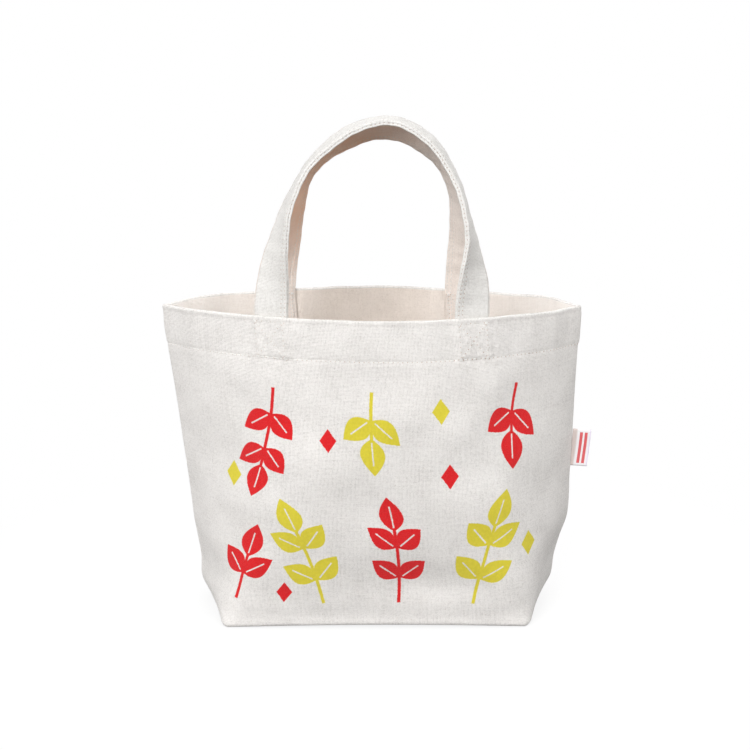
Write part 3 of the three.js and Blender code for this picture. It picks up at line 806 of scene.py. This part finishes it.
def strap_outline(closed_edge):
    """Section of the folded strap: a round fold on one edge and two folded lips on the other."""
    half_width, half_thickness = STRAP_WIDTH / 2, STRAP_THICKNESS / 2
    across = np.concatenate([np.linspace(half_thickness - half_width, half_width - EDGE_REACH, 18)[:-1],
                             np.linspace(half_width - EDGE_REACH, half_width - LIP_ROUND, 23)])
    top = np.stack([across, half_thick(half_width - across, closed_edge)], -1)
    turn = np.radians(np.arange(60, -61, -30))
    lip_across = half_width + LIP_ROUND * (np.cos(turn) - 1)
    lip_height = closed_edge / 4 + (closed_edge / 4 - LIP_GAPS[0]) * np.sin(turn)
    lip_root = [[half_width - LIP_ROUND, LIP_GAPS[1]]]
    upper = np.concatenate([top, np.stack([lip_across, lip_height], -1), lip_root])
    fold_turn = np.radians(np.arange(255, 104, -30))
    fold = np.stack([np.cos(fold_turn), -np.sin(fold_turn)], -1) * half_thickness
    return np.concatenate([upper, upper[::-1] * (1, -1), fold - (half_width - half_thickness, 0)])


def band_object(name, centres, widths, faces_out, walked, outline, materials, outline_materials=0):
    """Solid band along a path, with its cloth coordinate running across it and along it."""
    count, rows = outline.shape[-2], len(centres)
    outline = np.broadcast_to(outline, (rows, count, 2))
    points = centres[:, None] + widths[:, None] * outline[..., :1] + faces_out[:, None] * outline[..., 1:]
    row, column = np.meshgrid(np.arange(rows - 1), np.arange(count), indexing="ij")
    after = (column + 1) % count
    quads = np.stack([row * count + column, (row + 1) * count + column, (row + 1) * count + after,
                      row * count + after], -1).reshape(-1, 4)
    ends = [list(range(count)), list(range(rows * count - 1, (rows - 1) * count - 1, -1))]
    uvs = np.stack([outline[..., 0], np.broadcast_to(walked[:, None], (rows, count))], -1).reshape(-1, 2)
    slots = np.append(np.broadcast_to(outline_materials, (rows - 1, count)), (0, 0))
    return make_object(name, points.reshape(-1, 3), quads.tolist() + ends, uvs, materials, slots)


def swing_with_handle(piece):
    """Bakes the piece's placement into its mesh."""
    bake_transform(piece)


def painted_underside_shade(shader, cloth, u, v, weave, colour):
    """Painted shade: browner from the left leg to the middle of the strap, where it lies in shadow."""
    shade_share = ((v - UNDERSIDE_SHADE_START) / UNDERSIDE_SHADE_FADE[0]).clamped() * (1 - (v - UNDERSIDE_SHADE_END) / UNDERSIDE_SHADE_FADE[1]).clamped()
    uneven = shader.noise(cloth, UNDERSIDE_SHADE_SCALE, 3.0) * 0.5 + 0.55
    return shader.mix((shade_share * uneven * (1.25 - weave * 0.4)).clamped(), colour, UNDERSIDE_SHADE_BROWN)


# The reverse material carries painted shade: a warmer tone, browner from the left leg to the middle.
strap_canvas = [canvas_material("strap_canvas", STRAP_WHITE, STRAP_GAP_SHADE),
                canvas_material("strap_reverse_painted_shade", STRAP_REVERSE_WARM_SHADE, STRAP_GAP_SHADE, painted_underside_shade)]
strap_paths = {}
for half in FACING:
    centres, widths, faces_out, walked = strap_path(half)
    centres = centres + faces_out * waves(walked, np.zeros_like(walked), RIPPLES)[:, None]
    closed = smooth_step(*EDGE_FADE, past_rim(walked))
    edge_thickness = STRAP_THICKNESS + (CLOSED_EDGE - STRAP_THICKNESS) * closed
    strap_paths[half] = centres, widths, faces_out, edge_thickness
    outline = np.stack([strap_outline(thickness) for thickness in edge_thickness])
    inset, from_middle = STRAP_WIDTH / 2 - outline[0, :, 0], outline[0, :, 1] * ARCHES[half]["side"]
    # Faces of the reverse, which take its painted shade.
    is_reverse = (inset >= WHITE_LIP[half]) & (from_middle > REVERSE_FROM)
    strap = band_object(f"{half}_strap", centres, widths, faces_out, walked, outline, strap_canvas,
                        is_reverse)
    swing_with_handle(strap)
    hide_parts(f"{half}_handle", f"{half}_left_strap_end", f"{half}_right_strap_end")

# Sewing: rows of white cotton lockstitch hold the hems, the strap ends and the folded strap edges.
# Each stitch is a short bar of thread between two needle holes, on both faces of the cloth; the holes are
# dots of painted shade.
STITCH = {"Pitch": 0.003, "Stitch Length": 0.0025, "Thread Radius": 0.00028, "Hole Radius": 0.00031}
STRAP_STITCH = {**STITCH, "Pitch": 0.0027, "Stitch Length": 0.0021, "Thread Radius": 0.00036}
STITCH_SHARES = (0.42, 0.52)
THREAD_FLATNESS = 0.75
HOLE_FLATNESS = 0.35
FACE_LIFT = 0.00005
THREAD_LIFT = 0.0001
REVERSE_SINK = -0.00012
THREAD_WHITE = (0.84, 0.825, 0.80, 1)
# Dark colours of the needle holes, deep and shallow: painted shade.
HOLE_SHADE = (0.36, 0.17, 0.09, 1)
SHALLOW_HOLE_SHADE = (0.68, 0.61, 0.55, 1)
THREAD_SHADE = 0.85
STRAND_SCALE = 2600.0
HOLE_SCALE = 300.0
HEM_ROW_REACH = HALF_PANEL - 0.003
BOX_HALF_WIDTH = 0.0092
BOX_DROPS = (0.0032, HEM_ROW_DROP - 0.0004)
BOX_SHIFT = {("front", -1): 0.0, ("front", 1): -0.0014, ("back", -1): 0.0005, ("back", 1): -0.0004}
# Each line of a crossed box from corner to corner, as left or right and top or bottom.
BOX_LINES = (((-1, 0), (1, 0)), ((1, 0), (1, 1)), ((1, 1), (-1, 1)), ((-1, 1), (-1, 0)),
             ((-1, 0), (1, 1)), ((1, 0), (-1, 1)))


def thread_material():
    shader = Shader("cotton_thread")
    strands = shader.noise(shader.place(), STRAND_SCALE, 1.0, "3D")
    colour = shader.mix(strands, shaded(THREAD_WHITE, THREAD_SHADE), THREAD_WHITE)
    return shader.cloth_finish(colour, strands, 0.8, (0.4, 0.00005), 0.2)


def needle_hole_shade_material():
    """Needle holes as dots of painted shade, darker towards the right of the bag, which gets less light."""
    shader = Shader("needle_hole_painted_shade")
    place = shader.place()
    depth = shader.noise(place, HOLE_SCALE, 1.0, "3D")
    # Painted shade, deeper towards the right of the bag.
    pit_darkness = (depth * 1.2 - 0.2 + shader.part(place, 0) * 3.0).clamped()
    colour = shader.mix(pit_darkness, SHALLOW_HOLE_SHADE, HOLE_SHADE)
    return shader.cloth_finish(colour, depth, 1.0, (0.1, 0.00002), 0.0)


class NodeTree:
    """A geometry node tree under construction."""

    def __init__(self, name, numbers):
        self.tree = bpy.data.node_groups.new(name, "GeometryNodeTree")
        face = self.tree.interface
        face.new_socket("Geometry", in_out="INPUT", socket_type="NodeSocketGeometry")
        for number, value in numbers.items():
            face.new_socket(number, in_out="INPUT", socket_type="NodeSocketFloat").default_value = value
        face.new_socket("Seed", in_out="INPUT", socket_type="NodeSocketInt")
        face.new_socket("Geometry", in_out="OUTPUT", socket_type="NodeSocketGeometry")
        self.source = self.tree.nodes.new("NodeGroupInput")

    def node(self, kind, settings=None, sockets=None, output=0):
        return add_node(self.tree, kind, settings, sockets).outputs[output]

    def times(self, first, second):
        return self.node("ShaderNodeMath", {"operation": "MULTIPLY"}, {0: first, 1: second})

    def facing(self, axis, pivot, vector, rotation=None):
        settings = {"axis": axis, "pivot_axis": pivot}
        sockets = {"Rotation": rotation, "Vector": vector}
        return self.node("FunctionNodeAlignRotationToVector", settings, sockets)

    def balls(self, points, rotation, sizes, material):
        """A small ball at each point, stretched to three sizes, in a material."""
        ball = self.node("GeometryNodeMeshUVSphere", None, {"Segments": 6, "Rings": 5, "Radius": 1.0})
        scale = self.node("ShaderNodeCombineXYZ", None, dict(enumerate(sizes)))
        instances = self.node("GeometryNodeInstanceOnPoints", None, {
            "Points": points, "Instance": ball, "Rotation": rotation, "Scale": scale})
        real = self.node("GeometryNodeRealizeInstances", None, {"Geometry": instances})
        return self.node("GeometryNodeSetMaterial", None, {"Geometry": real, "Material": material})


def sewing_tree(thread, hole):
    """Turns lines that carry an outward direction into stitches and needle holes along them."""
    sewing = NodeTree("sewn_rows", STITCH)
    given = sewing.source.outputs
    line = sewing.node("GeometryNodeMeshToCurve", None, {"Mesh": given["Geometry"]})
    spaced = {"Curve": line, "Length": given["Pitch"]}
    points = add_node(sewing.tree, "GeometryNodeCurveToPoints", {"mode": "LENGTH"}, spaced).outputs
    vector = {"data_type": "FLOAT_VECTOR"}
    outward = sewing.node("GeometryNodeInputNamedAttribute", vector, {"Name": "outward"})
    along = sewing.facing("Z", "AUTO", points["Tangent"])
    rotation = sewing.facing("X", "Z", outward, along)

    span = {2: STITCH_SHARES[0], 3: STITCH_SHARES[1], "Seed": given["Seed"]}
    uneven = sewing.node("FunctionNodeRandomValue", None, span, 1)
    bar = (sewing.times(given["Thread Radius"], THREAD_FLATNESS), given["Thread Radius"],
           sewing.times(given["Stitch Length"], uneven))
    stitches = sewing.balls(points["Points"], rotation, bar, thread)

    # Needle holes: flat dots whose dark colour is painted shade.
    half_step = sewing.node("ShaderNodeVectorMath", {"operation": "SCALE"},
                            {0: points["Tangent"], "Scale": sewing.times(given["Pitch"], 0.5)})
    moved = {"Geometry": points["Points"], "Offset": half_step}
    between = sewing.node("GeometryNodeSetPosition", None, moved)
    pit = (sewing.times(given["Hole Radius"], HOLE_FLATNESS), given["Hole Radius"], given["Hole Radius"])
    painted_pit_shade = sewing.balls(between, rotation, pit, hole)

    joined = sewing.tree.nodes.new("GeometryNodeJoinGeometry")
    for part in (stitches, painted_pit_shade):
        sewing.tree.links.new(part, joined.inputs[0])
    result = sewing.tree.nodes.new("NodeGroupOutput")
    sewing.tree.links.new(joined.outputs[0], result.inputs[0])
    return sewing.tree


def sewn_object(name, rows, seed, sizes=STITCH):
    """Stitches along rows of points, each row given with its outward directions."""
    mesh = bpy.data.meshes.new(name)
    points = np.concatenate([row for row, _ in rows])
    directions = np.concatenate([direction for _, direction in rows]).astype(np.float32)
    starts = np.cumsum([0] + [len(row) for row, _ in rows])
    edges = [(first + step, first + step + 1) for first, (row, _) in zip(starts, rows)
             for step in range(len(row) - 1)]
    mesh.from_pydata(points.tolist(), edges, [])
    outward = mesh.attributes.new("outward", "FLOAT_VECTOR", "POINT")
    outward.data.foreach_set("vector", directions.ravel())
    made = placed(name, mesh)
    modifier = made.modifiers.new("sewing", "NODES")
    modifier.node_group = sewing
    inputs = {item.name: item.identifier for item in sewing.interface.items_tree if item.in_out == "INPUT"}
    for key, value in sizes.items():
        modifier[inputs[key]] = value
    modifier[inputs["Seed"]] = seed
    evaluated = made.evaluated_get(bpy.context.evaluated_depsgraph_get())
    made.data = bpy.data.meshes.new_from_object(evaluated)
    made.modifiers.remove(modifier)
    made.data.polygons.foreach_set("use_smooth", np.ones(len(made.data.polygons), bool))
    return made


def outer_row(across, drop, half):
    """A row on the outer face of a panel, and the outward direction there."""
    return on_canvas(across, drop, -FACE_LIFT, half)


def hem_row_inside(across, drop, half):
    """A row on the inner face of a hem, and the inward direction there."""
    points, outward = on_canvas(across, drop, HEM_THICKNESS + FACE_LIFT, half)
    return points, -outward


def strap_row_inside(across, drop, half, x_sign):
    """A row on the inner face of a sewn strap end, and the inward direction there."""
    table = np.concatenate([part.reshape(len(part), -1) for part in strap_paths[half]], axis=1)
    from_end = (STRAP_SEWN - drop) / STRAP_STEP
    place = from_end if x_sign < 0 else len(table) - 1 - from_end
    here = np.stack([np.interp(place, np.arange(len(table)), column) for column in table.T], -1)
    centres, widths, faces_out, edge_thickness = np.split(here, (3, 6, 9), axis=1)
    end = sewn_end(half, x_sign)
    inset = STRAP_WIDTH / 2 + (across - end)[:, None] * np.sign(end)
    inward = faces_out * ARCHES[half]["side"]
    lift = half_thick(inset, edge_thickness) + FACE_LIFT
    return centres + widths * (STRAP_WIDTH / 2 - inset) + inward * lift, inward


sewing = sewing_tree(thread_material(), needle_hole_shade_material())
for seed, half in enumerate(FACING):
    row_across = np.linspace(-HEM_ROW_REACH, HEM_ROW_REACH, 400)
    rows = [on_face(row_across, HEM_ROW_DROP, half) for on_face in (outer_row, hem_row_inside)]
    hem_row = sewn_object(f"{half}_hem_sewing", rows, seed)
    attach(hem_row, "bag")
    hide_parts(f"{half}_hem_stitch")
    for side, x_sign in SIDES:
        middle = sewn_end(half, x_sign) + BOX_SHIFT[half, x_sign]
        corners = {(x, y): (middle + x * BOX_HALF_WIDTH, BOX_DROPS[y]) for x in (-1, 1) for y in (0, 1)}
        rows = []
        for first, last in BOX_LINES:
            line_across, line_drop = np.linspace(corners[first], corners[last], 30).T
            rows.append(outer_row(line_across, line_drop, half))
            rows.append(strap_row_inside(line_across, line_drop, half, x_sign))
        box = sewn_object(f"{half}_{side}_box_sewing", rows, 10 + seed)
        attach(box, "bag")
        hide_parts(f"{half}_{side}_box_stitch")
    centres, widths, faces_out, edge_thickness = strap_paths[half]
    rows = [(centres + widths * (STRAP_WIDTH / 2 - LIP_ROUND / 2), widths)]
    for inset in EDGE_ROWS:
        for face in (-1, 1):
            is_reverse = face == ARCHES[half]["side"]
            lift = half_thick(inset, edge_thickness) + (REVERSE_SINK if is_reverse else THREAD_LIFT)
            place = centres + widths * (STRAP_WIDTH / 2 - inset) + faces_out * face * lift[:, None]
            rows.append((place, face * faces_out))
    edge_rows = sewn_object(f"{half}_strap_sewing", rows, 20 + seed, STRAP_STITCH)
    swing_with_handle(edge_rows)
    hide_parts(f"{half}_handle_edge_stitch", f"{half}_handle_inner_stitch")

# Seam bindings: the raw edges inside the unlined bag are bound in woven cotton tape, folded over the
# two side seams and the short ends of the base and laid flat along the middle of the base.
TAPE_BEIGE = (0.71, 0.63, 0.53, 1)
TAPE_SHADE = 0.82
TAPE_RIBS = (2400.0, 5200.0)
BINDING_WIDTH = 0.008
BINDING_THICKNESS = 0.0024
SIDE_BINDING = (0.0115, 0.178)
SEAM_ALLOWANCE = 0.0062
GUSSET_PLACE = (0.0975, 0.040, 0.0053)
GUSSET_LEAN = 0.3
FLAT_TAPE = {"width": 0.0100, "thickness": 0.0012, "reach": 0.096, "height": 0.0017}
# How far each tape wanders sideways, and how fast along its length.
WANDER = {"side": (0.0004, 90), "gusset": (0.0003, 150), "base": (0.0003, 70)}


def tape_material():
    shader = Shader("cotton_tape")
    _, u, v = cloth_coordinates(shader)
    ribs = (u * TAPE_RIBS[0] + (v * TAPE_RIBS[1]).sine() * 0.7).sine() * 0.5 + 0.5
    colour = shader.mix(ribs, shaded(TAPE_BEIGE, TAPE_SHADE), TAPE_BEIGE)
    return shader.cloth_finish(colour, ribs, 0.92, (0.5, 0.00012), 0.2)


def wandering(tape, steps, phase=0):
    return WANDER[tape][0] * np.sin(steps * WANDER[tape][1] + phase)


def rounded_outline(width, thickness):
    """Flat section with half-round edges."""
    turn = np.linspace(-np.pi / 2, np.pi / 2, 5)
    right = np.stack([np.cos(turn), np.sin(turn)], -1) * thickness / 2 + (width / 2 - thickness / 2, 0)
    return np.concatenate([right, -right])[::-1]


def tape_object(name, node, path, width_direction, outline):
    """Tape along a path of points, lying in the given width direction."""
    along = unit(np.gradient(path, axis=0))
    widths = square_to(along, np.array(width_direction))
    faces_out = np.cross(widths, along)
    tape = band_object(name, path, widths, faces_out, lengths_along(path), outline, [cotton_tape])
    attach(tape, "bag")
    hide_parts(node)


cotton_tape = tape_material()
binding = rounded_outline(BINDING_WIDTH, BINDING_THICKNESS)
for side, x_sign in SIDES:
    heights = np.linspace(*SIDE_BINDING, 60)
    seam_x = side_seam(heights, x_sign)[:, 0]
    path = np.stack([seam_x - x_sign * SEAM_ALLOWANCE, wandering("side", heights, x_sign), heights], -1)
    tape_object(f"{side}_side_binding", f"{side}_side_tape", path, (x_sign, 0, 0), binding)
    steps = np.linspace(-GUSSET_PLACE[1], GUSSET_PLACE[1], 40)
    gusset_x = x_sign * GUSSET_PLACE[0] + body_lean(0) * GUSSET_LEAN + wandering("gusset", steps)
    path = np.stack([gusset_x, steps, np.full(len(steps), GUSSET_PLACE[2])], -1)
    tape_object(f"{side}_gusset_binding", f"{side}_gusset_tape", path, (0, 0, 1), binding)
steps = np.linspace(-FLAT_TAPE["reach"], FLAT_TAPE["reach"], 60)
path = np.stack([steps, wandering("base", steps), np.full(len(steps), FLAT_TAPE["height"])], -1)
tape_object("base_binding", "base_seam_tape", path, (0, 1, 0),
            rounded_outline(FLAT_TAPE["width"], FLAT_TAPE["thickness"]))

# Side label: a short woven ribbon, folded double, with its cut ends caught in the right side seam.
# It stands out from the seam, and its face carries plain woven bars.
LABEL_WHITE = (0.86, 0.84, 0.85, 1)
LABEL_RED = (0.62, 0.022, 0.030, 1)
LABEL_TAN = (0.50, 0.36, 0.30, 1)
LABEL_LILAC = (0.72, 0.64, 0.80, 1)
LABEL_SHADE = 0.86
LABEL_RIBS = (12000.0, 9000.0)
LABEL_REACH = 0.0113
LABEL_INSIDE = 0.0012
LABEL_HEIGHT = 0.0262
LABEL_LOW = 0.0958
LABEL_TILT = 0.0775
LABEL_LAYER = 0.00038
LABEL_GAP = 0.0002
LABEL_BARS = ((0.0047, 0.0011), (0.0080, 0.0011))
BAR_HALF_LENGTH = 0.0112
BAR_EDGE = 5000.0
# Distance from the seam or the fold over which the label is tinted, and how strongly.
SEAM_TINT = (0.0024, 0.6)
FOLD_TINT = (0.0016, 0.7)
TINT_EDGE = 900.0
LABEL_CURL = ((0.0003, 120), (0.0004, 170), (0, 0))


def label_material():
    shader = Shader("woven_label")
    _, u, v = cloth_coordinates(shader)
    across, along = ((part * ribs).sine() * 0.5 + 0.5 for part, ribs in zip((u, v), LABEL_RIBS))
    ribs = along * 0.6 + across * 0.4
    bars = 0.0
    in_length = BAR_HALF_LENGTH - abs(v - LABEL_HEIGHT / 2)
    for middle, half_width in LABEL_BARS:
        bar = (half_width - abs(u - middle)).smaller(in_length) * BAR_EDGE
        bars = bar.clamped() + bars
    ground = shader.mix(ribs, shaded(LABEL_WHITE, LABEL_SHADE), LABEL_WHITE)
    by_seam = ((SEAM_TINT[0] - u) * TINT_EDGE).clamped() * SEAM_TINT[1]
    ground = shader.mix(by_seam, ground, LABEL_TAN)
    by_fold = ((u - LABEL_REACH + FOLD_TINT[0]) * TINT_EDGE).clamped() * FOLD_TINT[1]
    ground = shader.mix(by_fold, ground, LABEL_LILAC)
    colour = shader.mix((bars * (0.75 + ribs * 0.25)).clamped(), ground, LABEL_RED)
    return shader.cloth_finish(colour, ribs, 0.6, (0.35, 0.00008), 0.1)


def label_face(radius):
    """One face of the folded ribbon: out from the seam, round the fold and back."""
    turn = np.radians(np.linspace(-90, 90, 9))
    fold_middle = LABEL_REACH - LABEL_LAYER - LABEL_GAP / 2
    reach = np.linspace(-LABEL_INSIDE, fold_middle, 27)[:-1]
    lower = np.stack([reach, np.full_like(reach, -radius)], -1)
    fold = np.stack([fold_middle + radius * np.cos(turn), radius * np.sin(turn)], -1)
    return np.concatenate([lower, fold, lower[::-1] * (1, -1)])


label_outline = np.concatenate([label_face(LABEL_GAP / 2), label_face(LABEL_LAYER + LABEL_GAP / 2)[::-1]])
rows = np.linspace(0, LABEL_HEIGHT, 24)
up = np.array((np.sin(LABEL_TILT), 0, np.cos(LABEL_TILT)))
out = np.array((np.cos(LABEL_TILT), 0, -np.sin(LABEL_TILT)))
path = side_seam(LABEL_LOW, 1) + rows[:, None] * up
path = path + np.stack([size * np.sin(rows * pace) for size, pace in LABEL_CURL], -1)
outs = np.broadcast_to(out, path.shape)
label = band_object("woven_side_label", path, outs, np.cross(outs, unit(np.gradient(path, axis=0))), rows,
                    label_outline, [label_material()])
seam = side_seam(LABEL_LOW + LABEL_HEIGHT / 2, 1)
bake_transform(label)
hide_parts("side_label")

# Stage: a plain pale floor that runs into a white surround. The light is that of a tent: soft from
# all sides, with large lamps at the front left and behind and a weaker one at the right.
FLOOR_PALE = (0.88, 0.88, 0.88, 1)
FLOOR_GREY = (0.18, 0.177, 0.174, 1)
TENT_LIGHT = {"even": 0.74, "right": -0.03, "back": 0.18, "up": 0.24}
LAMPS = (("front_left_lamp", (-0.95, -1.55, 1.05), 1.4, 30),
         ("right_lamp", (1.1, -1.2, 0.9), 1.0, 9.5),
         ("back_lamp", (0.6, 1.8, 0.8), 1.4, 16))
LAMP_AIM = (0, 0, 0.12)
FLOOR_REACH = 3
FLOOR_LEVEL = -0.0002
# Distance from the middle at which the floor goes over to pure white, how fast, and how white it is nearer.
FLOOR_FADE = (0.12, 5.0, 0.80)
FOCAL_LENGTH = 59.75
SENSOR_WIDTH = 36
SENSOR_SHIFT = 0.0013
CAMERA_PLACE = (-0.0064, -0.800, 0.3871)
CAMERA_PITCH = 15.848
CAMERA_TURN = -0.359
WHITE = (1, 1, 1, 1)


def seen_directly(shader):
    camera, glossy, transmission = (shader.node("ShaderNodeLightPath", None, None, f"Is {kind} Ray")
                                    for kind in ("Camera", "Glossy", "Transmission"))
    return (camera + glossy + transmission).clamped()


floor_mesh = bpy.data.meshes.new("floor")
corners = [(x * FLOOR_REACH, y * FLOOR_REACH, FLOOR_LEVEL) for x, y in ((-1, -1), (1, -1), (1, 1), (-1, 1))]
floor_mesh.from_pydata(corners, [], [(0, 1, 2, 3)])
floor = placed("floor", floor_mesh)
floor_shader = Shader("pale_floor")
reach = floor_shader.node("ShaderNodeVectorMath", {"operation": "LENGTH"}, {0: floor_shader.place()}, "Value")
whiteness = ((reach - FLOOR_FADE[0]) * FLOOR_FADE[1]).clamped() * (1 - FLOOR_FADE[2]) + FLOOR_FADE[2]
seen = seen_directly(floor_shader)
floor_colour = floor_shader.mix(seen, FLOOR_GREY, FLOOR_PALE)
matt = floor_shader.node("ShaderNodeBsdfDiffuse", None, {"Color": floor_colour})
white = floor_shader.node("ShaderNodeEmission", None, {"Color": WHITE, "Strength": 1.0})
layers = {0: seen * whiteness, 1: matt, 2: white}
floor_mesh.materials.append(floor_shader.shown(floor_shader.node("ShaderNodeMixShader", None, layers)))

tent = Shader("light_tent", bpy.data.worlds.new("light_tent"))
direction = tent.place("Generated")
right, back, up = (tent.part(direction, axis) for axis in range(3))
glow = right * TENT_LIGHT["right"] + back * TENT_LIGHT["back"] + up * TENT_LIGHT["up"] + TENT_LIGHT["even"]
strength = glow + seen_directly(tent) * (1 - glow)
background = tent.node("ShaderNodeBackground", None, {"Color": WHITE, "Strength": strength})
bpy.context.scene.world = tent.shown(background, "World")

for name, place, size, power in LAMPS:
    lamp = bpy.data.lights.new(name, "AREA")
    lamp.shape = "DISK"
    lamp.size = size
    lamp.energy = power
    lamp_object = placed(name, lamp)
    lamp_object.location = place
    lamp_object.rotation_euler = (Vector(LAMP_AIM) - Vector(place)).to_track_quat("-Z", "Y").to_euler()

camera_data = bpy.data.cameras.new("photo_camera")
camera_data.lens = FOCAL_LENGTH
camera_data.sensor_width = SENSOR_WIDTH
camera_data.shift_x = SENSOR_SHIFT
camera = placed("photo_camera", camera_data)
camera.location = CAMERA_PLACE
camera.rotation_euler = (np.radians(90 - CAMERA_PITCH), 0, np.radians(CAMERA_TURN))
bpy.context.scene.camera = camera
bpy.context.scene.view_settings.view_transform = "Standard"
